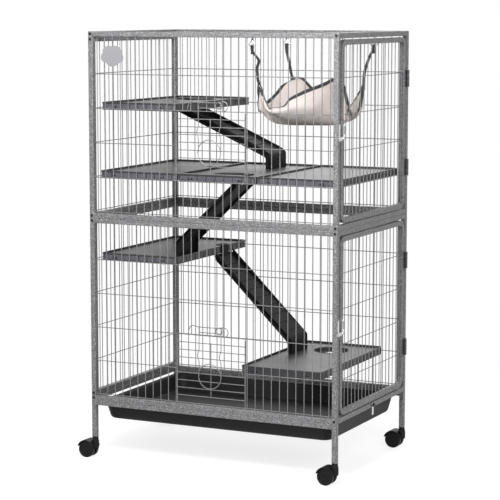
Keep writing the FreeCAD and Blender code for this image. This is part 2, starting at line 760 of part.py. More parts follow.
hooks = []
lower_rows, upper_rows = rows(lower_z), rows(upper_z)
shelf_step = shelf_width + v.shelf_gap
high_x = -inner_x + v.high_shelf_gap + shelf_width / 2
low_left_x = -inner_x + v.low_left_gap + shelf_width / 2
low_right_x = inner_x - v.low_right_gap - shelf_width / 2
high_row, mid_row, left_row, right_row = upper_rows[3], upper_rows[1], lower_rows[4], lower_rows[1]
shelf("shelf_high_left", high_x, high_row, 1, v.high_shelf_turn)
shelf("shelf_mid_left", -shelf_step, mid_row, 0, 0)
shelf("shelf_mid_centre", 0, mid_row, -1, 0)
shelf("shelf_mid_right", shelf_step, mid_row, 0, 0)
shelf("shelf_low_left", low_left_x, left_row, 0, 0)
shelf("shelf_low_right", low_right_x, right_row, 1, 0)
node("shelf_hooks", *hooks)


# Ramps: a ribbed board between two rims, an upright foot, and a lip that hooks on a shelf
deck_rise = v.shelf_height - v.shelf_recess


def ramp(label, top_x, top_row, lip_rise, foot_x, foot_row, y):
    way = 1 if foot_x > top_x else -1
    top_shelf = top_row - v.shelf_drop
    under = top_shelf + deck_rise - v.shelf_wall
    foot_z = foot_row - v.shelf_drop + deck_rise + v.seat_gap
    run = abs(foot_x - top_x)
    half = v.ramp_width / 2
    start_z = under - v.ramp_rim - v.ramp_top_gap
    drop = start_z - foot_z - v.ramp_foot
    slope = math.atan2(drop, run)
    thick = v.ramp_thick / math.cos(slope)
    rim = v.ramp_rim / math.cos(slope)

    def side_view(points, width, low_y):
        ring = [at(top_x + way * px, low_y, pz) for px, pz in points]
        return Part.Face(Part.makePolygon(ring + ring[:1])).extrude(Y * width)

    foot_top = foot_z + v.ramp_foot
    board = side_view(
        [(0, start_z), (run, foot_top), (run, foot_z), (run - v.ramp_thick, foot_z),
         (run - v.ramp_thick, foot_top - thick), (0, start_z - thick)], v.ramp_width, y - half)
    pieces = [board]
    for low_y in (y - half, y + half - v.ramp_thick):
        pieces.append(side_view(
            [(0, start_z + v.ramp_rim), (run - v.ramp_rim, foot_top + v.ramp_rim), (run, foot_top),
             (run, foot_z), (run - v.ramp_rim, foot_z), (run - v.ramp_rim, foot_top - thick), (0, start_z - thick)],
            v.ramp_thick, low_y))
    step = run / (RAMP_RIB_COUNT + 1)
    for k in range(RAMP_RIB_COUNT):
        mid = step * (k + 1)
        surface = start_z - mid * math.tan(slope)
        fall = v.ramp_rib_width * math.tan(slope)
        pieces.append(side_view(
            [(mid, surface + v.ramp_rib_height), (mid + v.ramp_rib_width, surface - fall + v.ramp_rib_height),
             (mid + v.ramp_rib_width, surface - fall - thick / 2), (mid, surface - thick / 2)],
            v.ramp_width - v.ramp_thick, y - half + v.ramp_thick / 2))
    lip_top = top_shelf + lip_rise + v.seat_gap
    pieces.append(side_view(
        [(0, start_z - thick), (0, lip_top), (-v.lip_reach, lip_top), (-v.lip_reach, lip_top + v.ramp_thick),
         (v.ramp_thick, lip_top + v.ramp_thick), (v.ramp_thick, start_z - thick)],
        v.lip_width, y - v.lip_width / 2))
    node(label, solid(label, pieces[0].fuse(pieces[1:]).removeSplitter()))


hole_y = shelf_depth / 2 - v.hole_from_end
high_hole_x = high_x + hole_y * math.sin(math.radians(v.high_shelf_turn))
lip_half = v.lip_width / 2
lip_chord = math.sqrt(v.hole_radius ** 2 - lip_half ** 2) - v.seat_gap
left_edge_x = low_left_x + shelf_width / 2
right_edge_x = low_right_x - shelf_width / 2
ramp("ramp_high", high_hole_x - lip_chord, high_row, deck_rise, v.high_foot_offset, mid_row, hole_y)
ramp("ramp_middle", lip_chord, mid_row, deck_rise, left_edge_x - v.middle_foot_inset, left_row, -hole_y)
ramp("ramp_low", left_edge_x + v.seat_gap, left_row, v.shelf_height,
     right_edge_x + v.low_foot_inset, right_row, v.low_ramp_offset)


# Litter tray: a deep drafted pan whose rim slides on the runners' ledges
def tray():
    top, bottom = v.tray_rim_top, v.tray_rim_top - v.tray_depth
    long_half = inner_x - v.tray_end_gap
    wide_half = inner_y - v.tray_side_gap
    mouth_long, mouth_wide = long_half - v.tray_rim, wide_half - v.tray_rim
    wall = v.tray_wall
    floor_long, floor_wide = mouth_long - v.tray_draft, mouth_wide - v.tray_draft
    outer = Part.makeLoft([
        rounded_ring(floor_long, floor_wide, v.tray_corner, 0, bottom),
        rounded_ring(mouth_long, mouth_wide, v.tray_corner, 0, top)], True, True)
    inner = Part.makeLoft([
        rounded_ring(floor_long - wall, floor_wide - wall, v.tray_corner - wall, 0, bottom + wall),
        rounded_ring(mouth_long - wall, mouth_wide - wall, v.tray_corner - wall, 0, top)], True, True)
    rim = slab(long_half, wide_half, v.tray_corner, 0, top - wall, wall)
    node("litter_tray", solid("litter_tray", outer.fuse(rim).cut(inner).removeSplitter()))


tray()

# Tray catches: a tab that turns on a knobbed screw in each base side rail
catch_screws = []


def tray_catch(label, side, turned_aside):
    z = lower_z + v.tube_size / 2
    face_x = side * half_x
    out = X * side
    plate_x = face_x + side * v.seat_gap
    low_x = plate_x if side > 0 else plate_x - v.latch_thick
    half = v.catch_width / 2
    if turned_aside:
        tab = box(label + "_tab", "latch_thick", "catch_drop + catch_width / 2", "catch_width",
                  at(low_x, -half, z - half))
    else:
        tab = box(label + "_tab", "latch_thick", "catch_width", "catch_drop + catch_width / 2",
                  at(low_x, -half, z - v.catch_drop))
    bore = prism(label + "_bore", SMALL_SIDES, "catch_stud_radius + pin_clearance", "latch_thick",
                 at(plate_x, 0, z), out)
    node(label, cut(label, tab, bore))
    stud = pin(label + "_stud", "catch_stud_radius", "latch_thick + 2 * seat_gap", at(face_x, 0, z), out)
    knob = prism(label + "_knob", BARREL_SIDES, "catch_knob_radius", "catch_knob",
                 at(face_x + side * (v.latch_thick + 2 * v.seat_gap), 0, z), out)
    catch_screws.append(fuse(label + "_screw", stud, knob))


tray_catch("tray_catch_left", -1, True)
tray_catch("tray_catch_right", 1, False)
node("catch_screws", *catch_screws)

# Badge: a bare scalloped plate on the upright wires
LOBE_COUNT = 5
LOBE_SHARE = 0.1
BADGE_STEP_COUNT = 40
badge_x = -half_x + v.badge_from_left
badge_z = top_z - v.badge_from_top
badge_y = -post_y - wire_r - v.badge_thick
outline = []
for k in range(BADGE_STEP_COUNT):
    turn = 2 * math.pi * k / BADGE_STEP_COUNT - math.pi / 2
    reach_share = 1 + LOBE_SHARE * math.cos(LOBE_COUNT * (turn + math.pi / 2))
    outline.append((reach_share * math.cos(turn), reach_share * math.sin(turn)))
span_x = max(x for x, z in outline) - min(x for x, z in outline)
span_z = max(z for x, z in outline) - min(z for x, z in outline)
low_share = min(z for x, z in outline) / span_z + 1 / 2
ring = []
for x, z in outline:
    height_share = z / span_z - low_share
    ring.append(at(badge_x + v.badge_width * x / span_x, badge_y, badge_z + v.badge_height * height_share))
plate = Part.Face(Part.makePolygon(ring + ring[:1])).extrude(Y * v.badge_thick)
node("badge_plate", solid("badge_plate", plate))


# Hammock: sagging cloth, four straps and four clips on the roof wires
cloth_x = v.cloth_from_middle
cloth_z = upper_rows[3] - v.cloth_below_row
cloth_front = -v.cloth_width / 2
cloth_back = v.cloth_width / 2
# Stations along the cloth: shares of its length, and of its sag by which each lifts above the lowest
CLOTH_SHARES = ((0, 0.55), (0.16, 0.09), (0.35, 0), (0.56, 0.03), (0.79, 0.26), (1, 0.6))


def cloth_section(x, lift):
    """A U of two arcs, front edge lower than the back one."""
    thick = v.cloth_thick
    low = cloth_z + lift
    front = low + v.cloth_sag - v.cloth_front_dip
    back = low + v.cloth_sag
    arcs = []
    for inset in (0, thick):
        near, far = at(x, cloth_front + inset, front), at(x, cloth_back - inset, back)
        arcs.append(Part.Arc(near, at(x, 0, low + inset), far))
    edges = [
        arcs[0].toShape(),
        Part.makeLine(at(x, cloth_back, back), at(x, cloth_back - thick, back)),
        arcs[1].toShape(),
        Part.makeLine(at(x, cloth_front + thick, front), at(x, cloth_front, front)),
    ]
    return Part.Face(Part.Wire(Part.__sortEdges__(edges)))


stations = []
for along_share, lift_share in CLOTH_SHARES:
    stations.append((cloth_x + v.cloth_length * along_share, v.cloth_sag * lift_share))
spans = []
for (x, lift), (next_x, next_lift) in zip(stations, stations[1:]):
    spans.append(cloth_section(x, lift).extrude(Vector(next_x - x, 0, next_lift - lift)))
node("hammock_cloth", solid("hammock_cloth", spans[0].fuse(spans[1:])))

near_wire = min(roof_wire_places, key=lambda y: abs(y - cloth_front))
far_wire = min(roof_wire_places, key=lambda y: abs(y - cloth_back - v.strap_lean))
front_rise = v.cloth_sag - v.cloth_front_dip
corners = []
for (x, lift), inward in ((stations[0], 1), (stations[-1], -1)):
    hang_x = x - inward * v.strap_width
    corners.append((x, cloth_front, cloth_z + lift + front_rise, hang_x, near_wire))
    corners.append((x, cloth_back, cloth_z + lift + v.cloth_sag, hang_x, far_wire))
straps = []
clips = []


def triangle(x, y, half, low, high):
    ring = [at(x - half, y, low), at(x + half, y, low), at(x, y, high)]
    return Part.Face(Part.makePolygon(ring + ring[:1])).extrude(Y * v.wire_size)


def clip(x, y):
    """A triangle for the strap's end, and a hook from it over the roof wire."""
    half = v.clip_ring_width / 2
    ring_top = clip_low + v.clip_ring_height
    slope = math.hypot(half, v.clip_ring_height)
    top_wall = v.wire_size * slope / half
    side_wall = v.wire_size * (slope + half) / v.clip_ring_height
    outer = triangle(x, y - wire_r, half, clip_low, ring_top)
    inner = triangle(x, y - wire_r, half - side_wall, clip_low + v.wire_size, ring_top - top_wall)
    over = roof_z + v.wire_size + v.seat_gap
    mouth = v.clip_mouth / 2
    shoulder = ring_top + v.clip_neck
    points = [
        at(x, y, ring_top),
        at(x, y, shoulder),
        at(x, y + mouth, shoulder + mouth),
        at(x, y + mouth, over),
        at(x, y - mouth, over),
        at(x, y - mouth, shoulder + mouth),
    ]
    return [solid("clip_ring", outer.cut(inner)), solid("clip_hook", bent(points, X))]


clip_low = roof_z - v.clip_drop
for corner_x, corner_y, corner_z, hang_x, hang_y in corners:
    low = at(corner_x, corner_y, corner_z + v.seat_gap)
    high = at(hang_x, hang_y, clip_low - v.seat_gap)
    lean = (high - low).normalize()
    corner_drop = v.strap_width / 2 * abs(lean.x) + v.strap_thick * abs(lean.y)
    low.z = low.z + corner_drop
    high.z = high.z - corner_drop
    way = high - low
    strap = doc.addObject("Part::Box", "strap")
    strap.Length = way.Length
    bind(strap, Width="strap_width", Height="strap_thick")
    turn = Rotation(way, X, Vector(), "XYZ")
    strap.Placement = Placement(low - turn.multVec(Y) * (v.strap_width / 2), turn)
    straps.append(strap)
    clips.extend(clip(hang_x, hang_y))
node("hammock_straps", *straps)
node("hammock_clips", *clips)

doc.recompute()
failed = [thing.Name for thing in doc.Objects if {"Invalid", "Error"} & set(thing.State)]
if failed:
    raise RuntimeError(f"failed objects: {failed}")
for thing in nodes:
    if thing.Shape.isNull() or not thing.Shape.isValid():
        raise RuntimeError(f"bad shape: {thing.Label}")
os.makedirs("parts", exist_ok=True)
for thing in nodes:
    thing.Shape.exportStep(f"parts/{thing.Label}.step")
print(len(nodes), "nodes")
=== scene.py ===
"""Looks of the rodent cage: wire panels, doors, shelves, ramps, tray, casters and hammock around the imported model."""
import json
import math

import bmesh
import bpy
from mathutils import Matrix, Vector


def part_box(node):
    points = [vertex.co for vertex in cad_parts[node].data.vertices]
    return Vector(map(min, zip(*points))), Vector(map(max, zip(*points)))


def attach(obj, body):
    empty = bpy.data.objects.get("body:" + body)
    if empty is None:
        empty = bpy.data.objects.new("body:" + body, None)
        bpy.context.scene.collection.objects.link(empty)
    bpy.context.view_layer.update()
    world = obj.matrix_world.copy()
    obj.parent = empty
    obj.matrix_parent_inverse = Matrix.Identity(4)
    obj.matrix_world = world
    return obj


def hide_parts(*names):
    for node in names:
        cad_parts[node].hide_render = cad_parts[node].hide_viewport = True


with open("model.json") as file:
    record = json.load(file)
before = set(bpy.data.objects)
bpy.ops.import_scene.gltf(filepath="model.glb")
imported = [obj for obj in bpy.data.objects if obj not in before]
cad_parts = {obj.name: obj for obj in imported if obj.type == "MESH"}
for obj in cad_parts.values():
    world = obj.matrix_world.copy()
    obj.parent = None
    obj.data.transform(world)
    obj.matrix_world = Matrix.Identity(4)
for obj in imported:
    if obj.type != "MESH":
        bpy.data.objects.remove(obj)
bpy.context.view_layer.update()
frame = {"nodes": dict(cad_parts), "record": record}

# Sizes in millimetres, on the cage's own middle
TUBE, WIRE = 15, 1.25
# A wire laid on another, wires let into tubes, room between pieces, and the thickness of moulded plastic
LAID, LAP, PLAY, SKIN = 2 * WIRE, 1, 0.3, 3
HALF_X, HALF_Y = 400, 267.5
INNER_X, INNER_Y = HALF_X - TUBE, HALF_Y - TUBE
POST_X, POST_Y = HALF_X - TUBE / 2, HALF_Y - TUBE / 2
LEG_TOP, BASE_Z, MID_Z, TOP_Z = 153, 177, 727, 1277
ROW_FIRST, ROW_PITCH, ROWS, ROW_END = 20, 101.5, 5, INNER_Y - 2
FRONT_WIRES, SIDE_WIRES, DOOR_WIRES, ROOF_CROSS_WIRES = 30, 19, 18, 5
FRONT_WIRE_GAP, SIDE_WIRE_GAP, DOOR_WIRE_GAP, ROOF_CROSS_GAP = 11.6, 13, 5, 128
HATCH_WIRES, HATCH_BARS = 8, 8
FRONT_PITCH = 2 * (INNER_X - FRONT_WIRE_GAP) / (FRONT_WIRES - 1)
HATCH_FLANK = (HATCH_WIRES + 1) / 2 * FRONT_PITCH
HATCH_SIDE = HATCH_FLANK - 5
LOWER_HATCH, UPPER_HATCH = (0, 2), (1, 3)
DOOR_GAP, DOOR_FRONT, DOOR_BACK, DOOR_BEND = 3.5, -242.5, 248, 32
HINGE_X, HINGE_Y, HINGE_END, HINGE_TALL, HINGE_LEAF = 405, 250.25, 123, 50, 12
LEAF, BARREL, PIN_PAST = 2, 4, 2
# A hinge's middle and end knuckles, as shares of its height
MIDDLE_KNUCKLE, END_KNUCKLE = 0.38, 0.3
PLATE, LATCH_TALL, LATCH_ARM, LATCH_ARM_TALL = 1.5, 45, 32, 10
RING, RING_DROP, LEG_X = 37.2, 118, 35.7
SHELF_WIDE, SHELF_DEEP, SHELF_TALL, SHELF_DROP, SHELF_BEND = 255, 470, 23, 5, 12
SHELF_ASKEW = 1.6
DECK, HOLE, HOLE_END = 17, 52, 100
RAMP_WIDE, RAMP_RIM, RAMP_FOOT, RAMP_RIBS = 120, 13, 45, 9
# A ramp's skirts below its board, its tuck under the shelf, how low it starts, its treads and its hook
RAMP_SKIRT, RAMP_TUCK, RAMP_LOW, TREAD, HOOK_WIDE, HOOK_LONG = 10, 5, 7, 4, 40, 20
TRAY_FLOOR_X, TRAY_FLOOR_Y, TRAY_BOTTOM, TRAY_TOP, TRAY_BEND = 362, 231, 121, 172, 28
TRAY_WALL_X, TRAY_WALL_Y, TRAY_RIM_X, TRAY_RIM_Y, LEDGE_Z = 374, 243, 382, 251, 166.7
BADGE_WIDE, BADGE_TALL, BADGE_X, BADGE_Z = 76, 61, -322, 1205
BADGE_THICK, BADGE_BORDER, BADGE_SUNK, LOBES, LOBE_DEEP = 1.2, 2.2, 0.5, 5, 0.16
CASTER_TOP = 62
ROW_Y = POST_Y + LAID
EDGE = 1.6
WIRE_SIDES = 10
SHARP = math.radians(38)
X, Y, Z = Vector((1, 0, 0)), Vector((0, 1, 0)), Vector((0, 0, 1))

low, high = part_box("front_panel_lower")
TO_ROW = Matrix.Translation(((low.x + high.x) / 2, 0, 0)) @ Matrix.Scale(0.001, 4)


# Node graphs
def adder(tree):
    """A short way to place nodes: values and links for the sockets, then the node's own settings."""
    def add(kind, sockets=None, **settings):
        node = tree.nodes.new("ShaderNode" + kind)
        for key, value in settings.items():
            setattr(node, key, value)
        for key, value in (sockets or {}).items():
            if isinstance(value, bpy.types.NodeSocket):
                tree.links.new(value, node.inputs[key])
            else:
                node.inputs[key].default_value = value
        return node
    return add


def calc(add, operation, *values):
    return add("Math", dict(enumerate(values)), operation=operation).outputs[0]


def noise(add, place, scale, detail, **more):
    return add("TexNoise", {"Vector": place, "Scale": scale, "Detail": detail, **more}).outputs["Fac"]


def varied(add, value, low, high, start=0.0, end=1.0):
    """A value spread from its own range over another one."""
    sockets = {"Value": value, "From Min": start, "From Max": end, "To Min": low, "To Max": high}
    return add("MapRange", sockets).outputs[0]


def group(name, inputs, outputs, build):
    """A shared effect: named float inputs, and values that change over the surface as outputs."""
    tree = bpy.data.node_groups.new(name, "ShaderNodeTree")
    for label, value in inputs.items():
        tree.interface.new_socket(label, in_out="INPUT", socket_type="NodeSocketFloat").default_value = value
    for label in outputs:
        tree.interface.new_socket(label, in_out="OUTPUT", socket_type="NodeSocketFloat")
    source = tree.nodes.new("NodeGroupInput")
    target = tree.nodes.new("NodeGroupOutput")
    made = build(adder(tree), source.outputs)
    for label, socket in zip(outputs, made):
        tree.links.new(socket, target.inputs[label])
    return tree


def build_fleck(add, given):
    """Hammered silver paint: small bright flecks, dark veins between them, and slow clouds."""
    place = add("TexCoord").outputs["Object"]
    warp = add("TexNoise", {"Vector": place, "Scale": 140.0, "Detail": 2.0})
    shifted = add("MixRGB", {"Fac": 0.012, "Color1": place, "Color2": warp.outputs["Color"]}, blend_type="ADD")
    cells = add("TexVoronoi", {"Vector": shifted.outputs[0], "Scale": given["Scale"], "Randomness": 1.0},
                feature="SMOOTH_F1")
    grain = noise(add, place, 900.0, 3.0, Roughness=0.7)
    fleck = varied(add, cells.outputs["Distance"], 1.0, 0.0, 0.15, 0.62)
    bright = calc(add, "MULTIPLY_ADD", fleck, grain, -0.12)
    return bright, fleck, noise(add, place, 9.0, 3.0)


def build_moulded(add, given):
    """Moulded plastic: a fine spark grain, slow flow marks, and rubbed streaks."""
    place = add("TexCoord").outputs["Object"]
    grain = noise(add, place, given["Scale"], 4.0, Roughness=0.6)
    flow = noise(add, place, 7.0, 3.0, Distortion=1.2)
    stretched = add("Mapping", {"Vector": place, "Scale": (30.0, 260.0, 260.0), "Rotation": (0.0, 0.0, 0.5)})
    streak = noise(add, stretched.outputs[0], 1.0, 5.0, Roughness=0.75)
    return grain, flow, varied(add, streak, 0.0, 1.0, 0.56, 0.72)


def build_dust(add, given):
    """Dust that has settled on faces that look up."""
    place = add("TexCoord").outputs["Object"]
    facing = add("SeparateXYZ", {0: add("NewGeometry").outputs["Normal"]})
    up = varied(add, facing.outputs["Z"], 0.0, 1.0, 0.5, 1.0)
    some = calc(add, "MULTIPLY", noise(add, place, 420.0, 6.0, Roughness=0.8), noise(add, place, 12.0, 2.0))
    dust = calc(add, "MULTIPLY", varied(add, some, 0.0, 1.0, 0.2, 0.42), up)
    return [calc(add, "MULTIPLY", dust, given["Amount"])]


def build_weave(add, given):
    """Plain weave on the piece's own UV map, laid out in metres."""
    laid = add("SeparateXYZ", {0: add("UVMap", uv_map="cut").outputs[0]})
    threads = [calc(add, "SINE", calc(add, "MULTIPLY", laid.outputs[axis], given["Threads"])) for axis in ("X", "Y")]
    height = varied(add, calc(add, "MULTIPLY", *threads), 0.0, 1.0, -1.0, 1.0)
    return height, noise(add, add("TexCoord").outputs["Object"], 260.0, 5.0)


FLECK = group("hammer_fleck", {"Scale": 260.0}, ("Fleck", "Height", "Clouds"), build_fleck)
MOULDED = group("moulded_grain", {"Scale": 1600.0}, ("Grain", "Flow", "Rubbed"), build_moulded)
DUST = group("settled_dust", {"Amount": 0.5}, ("Dust",), build_dust)
WEAVE = group("plain_weave", {"Threads": 5000.0}, ("Thread", "Slub"), build_weave)

materials = {}


def cleared(owner):
    """An empty node tree of a material or world, ready to add to."""
    owner.use_nodes = True
    owner.node_tree.nodes.clear()
    return adder(owner.node_tree)


def material(name, shader):
    """A named finish: its maker returns the sockets of one Principled shader."""
    made = bpy.data.materials.new(name)
    add = cleared(made)
    principled = add("BsdfPrincipled", shader(add))
    add("OutputMaterial", {"Surface": principled.outputs[0]})
    materials[name] = made


def used(add, tree, **values):
    node = add("Group", node_tree=tree)
    for key, value in values.items():
        node.inputs[key].default_value = value
    return node.outputs


def ramp(add, factor, *stops):
    """A colour ramp with greys or colours at given places."""
    node = add("ValToRGB", {"Fac": factor})
    while len(node.color_ramp.elements) < len(stops):
        node.color_ramp.elements.new(0.5)
    for element, (place, colour) in zip(node.color_ramp.elements, stops):
        element.position = place
        element.color = (*colour, 1)
    return node.outputs["Color"]


def mixed(add, factor, first, second):
    """A mix of two colours, each written out or linked."""
    first, second = [(*colour, 1) if isinstance(colour, tuple) else colour for colour in (first, second)]
    return add("MixRGB", {"Fac": factor, "Color1": first, "Color2": second}).outputs[0]


def bumped(add, height, strength, distance):
    return add("Bump", {"Height": height, "Strength": strength, "Distance": distance}).outputs[0]


def frame_paint(add):
    fleck = used(add, FLECK, Scale=310.0)
    colour = ramp(add, fleck["Fleck"], (0.02, (0.12, 0.12, 0.123)), (0.24, (0.26, 0.26, 0.265)),
                  (0.5, (0.52, 0.52, 0.53)))
    clouded = mixed(add, varied(add, fleck["Clouds"], 0.0, 0.25), colour, (0.16, 0.16, 0.165))
    dusty = mixed(add, used(add, DUST, Amount=0.25)["Dust"], clouded, (0.5, 0.5, 0.49))
    return {"Base Color": dusty, "Metallic": 0.3, "Roughness": varied(add, fleck["Fleck"], 0.5, 0.36),
            "Normal": bumped(add, fleck["Height"], 0.35, 0.0006)}


def flecked(scale, dark, bright, rough, bump):
    """Plain hammered paint for small parts."""
    def build(add):
        fleck = used(add, FLECK, Scale=scale)
        return {"Base Color": ramp(add, fleck["Fleck"], (0.0, dark), (0.6, bright)), "Metallic": 0.5,
                "Roughness": varied(add, fleck["Clouds"], *rough), "Normal": bumped(add, fleck["Height"], *bump)}
    return build


def plastic(scale, colours, rubbed, shine, rough, bump, specular=0.5, dust=None):
    """Moulded plastic: two colours that flow into each other, rubbed streaks, and settled dust where it is given."""
    def build(add):
        moulded = used(add, MOULDED, Scale=scale)
        colour = mixed(add, moulded["Flow"], *colours)
        colour = mixed(add, varied(add, moulded["Rubbed"], 0.0, 0.3), colour, rubbed)
        if dust:
            amount, shade = dust
            colour = mixed(add, used(add, DUST, Amount=amount)["Dust"], colour, shade)
        return {"Base Color": colour, "Roughness": varied(add, moulded[shine], *rough), "Specular IOR Level": specular,
                "Normal": bumped(add, moulded["Grain"], *bump)}
    return build


def metal(scale, colours, metallic, rough, bump, spread="Rubbed", shine="Flow"):
    """Plated or blackened metal, in two colours."""
    def build(add):
        moulded = used(add, MOULDED, Scale=scale)
        return {"Base Color": mixed(add, moulded[spread], *colours), "Metallic": metallic,
                "Roughness": varied(add, moulded[shine], *rough), "Normal": bumped(add, moulded["Grain"], *bump)}
    return build


def hammock_cloth(add):
    weave = used(add, WEAVE, Threads=4200.0)
    colour = ramp(add, weave["Slub"], (0.3, (0.62, 0.55, 0.52)), (0.7, (0.73, 0.67, 0.64)))
    shaded = mixed(add, varied(add, weave["Thread"], 0.18, 0.0), colour, (0.52, 0.45, 0.42))
    return {"Base Color": shaded, "Roughness": varied(add, weave["Slub"], 0.82, 0.95), "Sheen Weight": 0.35,
            "Sheen Roughness": 0.5, "Normal": bumped(add, weave["Thread"], 0.45, 0.0004)}


def webbing(add):
    weave = used(add, WEAVE, Threads=3000.0)
    colour = mixed(add, weave["Thread"], (0.010, 0.010, 0.011), (0.028, 0.028, 0.030))
    return {"Base Color": colour, "Roughness": varied(add, weave["Slub"], 0.6, 0.8), "Sheen Weight": 0.2,
            "Normal": bumped(add, weave["Thread"], 0.6, 0.0005)}


FINISHES = {
    "frame_paint": frame_paint,
    "wire_paint": flecked(700.0, (0.17, 0.17, 0.175), (0.40, 0.405, 0.41), (0.34, 0.5), (0.25, 0.0002)),
    "hinge_paint": flecked(420.0, (0.05, 0.05, 0.053), (0.17, 0.17, 0.175), (0.36, 0.5), (0.3, 0.0003)),
    "shelf_plastic": plastic(1400.0, ((0.024, 0.024, 0.026), (0.038, 0.038, 0.041)), (0.09, 0.09, 0.095), "Flow",
                             (0.30, 0.44), (0.12, 0.0003), 0.4, (0.2, (0.16, 0.16, 0.16))),
    # Painted highlight: a lighter plastic for the shelves' front and back panels, standing in for the lamps' reflection
    # on them
    "shelf_panel_painted_highlight": plastic(1400.0, ((0.065, 0.063, 0.075), (0.105, 0.103, 0.118)), (0.20, 0.20, 0.215), "Flow",
                           (0.36, 0.5), (0.15, 0.0003)),
    "black_plastic": plastic(1100.0, ((0.005, 0.005, 0.006), (0.011, 0.011, 0.012)), (0.04, 0.04, 0.042), "Grain",
                             (0.5, 0.7), (0.25, 0.0004), 0.12, (0.1, (0.08, 0.08, 0.08))),
    "tray_plastic": plastic(900.0, ((0.011, 0.011, 0.012), (0.022, 0.022, 0.024)), (0.05, 0.05, 0.053), "Grain",
                            (0.44, 0.6), (0.25, 0.0004), 0.15),
    "caster_plastic": plastic(900.0, ((0.005, 0.005, 0.0055), (0.010, 0.010, 0.011)), (0.03, 0.03, 0.031), "Grain",
                              (0.38, 0.55), (0.2, 0.0004), 0.15),
    "screw_black": metal(2600.0, ((0.022, 0.022, 0.024), (0.11, 0.11, 0.115)), 0.6, (0.35, 0.5), (0.1, 0.0001)),
    "bright_steel": metal(1800.0, ((0.56, 0.56, 0.565), (0.40, 0.40, 0.41)), 1.0, (0.22, 0.4), (0.08, 0.0001)),
    "nickel": metal(2200.0, ((0.60, 0.60, 0.60), (0.40, 0.40, 0.40)), 1.0, (0.10, 0.24), (0.05, 0.0001)),
    "clip_steel": metal(2200.0, ((0.10, 0.10, 0.105), (0.05, 0.05, 0.053)), 1.0, (0.16, 0.32), (0.05, 0.0001)),
    "badge_plate": metal(1500.0, ((0.25, 0.25, 0.265), (0.31, 0.31, 0.325)), 0.25, (0.36, 0.5), (0.2, 0.0002),
                         "Flow", "Grain"),
    "hammock_cloth": hammock_cloth,
    "webbing": webbing,
}
for name, maker in FINISHES.items():
    material(name, maker)

# A slot's finish, for CAD nodes that stay as they are
NODE_FINISH = {"wire_steel": "wire_paint"}
for row in frame["record"]["subparts"]:
    look = materials[NODE_FINISH.get(row["material_slot"], row["material_slot"])]
    data = frame["nodes"][row["node"]].data
    data.materials.clear()
    data.materials.append(look)


# Shapes, in millimetres on the cage's own middle
def faces_of(verts):
    return list({face for vert in verts for face in vert.link_faces})


def bevel(bm, geom, offset, steps, affect="EDGES", clamped=False):
    bmesh.ops.bevel(bm, geom=geom, offset=offset, segments=steps, profile=0.5, affect=affect, clamp_overlap=clamped,
                    material=-1)


def as_mesh(bm, name):
    data = bpy.data.meshes.new(name)
    bm.to_mesh(data)
    bm.free()
    return data


def placed(name, data):
    made = bpy.data.objects.new(name, data)
    bpy.context.scene.collection.objects.link(made)
    return made


def bar(bm, low, high, edge=EDGE, steps=3, finish=0):
    """A square bar between two corners, with rounded edges."""
    low, high = Vector(low), Vector(high)
    place = Matrix.Translation((low + high) / 2) @ Matrix.Diagonal((*(high - low), 1))
    verts = bmesh.ops.create_cube(bm, size=1, matrix=place)["verts"]
    for face in faces_of(verts):
        face.material_index = finish
    edges = list({line for vert in verts for line in vert.link_edges})
    bevel(bm, edges, edge, steps)


def rod(bm, start, end, radius=WIRE, sides=WIRE_SIDES, finish=0):
    """A round bar."""
    start, end = Vector(start), Vector(end)
    way = end - start
    place = Matrix.Translation((start + end) / 2) @ way.to_track_quat("Z", "Y").to_matrix().to_4x4()
    made = bmesh.ops.create_cone(bm, cap_ends=True, segments=sides, radius1=radius, radius2=radius, depth=way.length,
                                 matrix=place)
    for face in faces_of(made["verts"]):
        face.material_index = finish


def moved(bm, matrix):
    bmesh.ops.transform(bm, matrix=matrix, verts=bm.verts)


def merge(bm, part, finish=0):
    """Add a finished shape to a piece."""
    for face in part.faces:
        face.material_index = finish
    data = as_mesh(part, "shape")
    bm.from_mesh(data)
    bpy.data.meshes.remove(data)


def facing_x(x, y, z):
    """A plane square to X: its own width runs along Y and its height along Z."""
    return Matrix(((0, 0, 1, x), (1, 0, 0, y), (0, 1, 0, z), (0, 0, 0, 1)))


def new_verts(made):
    return [part for part in made["geom"] if isinstance(part, bmesh.types.BMVert)]


def rounded_face(part, wide, tall, bend, steps=6):
    """A flat face with rounded corners."""
    verts = bmesh.ops.create_grid(part, x_segments=1, y_segments=1, size=0.5)["verts"]
    bmesh.ops.scale(part, vec=(wide, tall, 1), verts=verts)
    bevel(part, verts, bend, steps, "VERTICES")


def grow(part, way):
    """Give flat faces a thickness."""
    made = bmesh.ops.extrude_face_region(part, geom=part.faces[:], use_keep_orig=True)
    bmesh.ops.translate(part, vec=way, verts=new_verts(made))
    bmesh.ops.recalc_face_normals(part, faces=part.faces)


def bevel_sharp(part, edge, steps=2, degrees=40):
    sharp = [line for line in part.edges if line.is_manifold and line.calc_face_angle() > math.radians(degrees)]
    bevel(part, sharp, edge, steps, clamped=True)


def hoop(bm, place, wide, tall, bend, wall, deep, edge, finish=0):
    """A closed frame with rounded corners; place holds its plane."""
    part = bmesh.new()
    rounded_face(part, wide, tall, bend, 8)
    face = part.faces[:][0]
    bmesh.ops.inset_region(part, faces=[face], thickness=wall, use_even_offset=True, use_boundary=True)
    bmesh.ops.delete(part, geom=[face], context="FACES")
    grow(part, (0, 0, deep))
    bevel_sharp(part, edge, 3, 60)
    moved(part, place)
    merge(bm, part, finish)


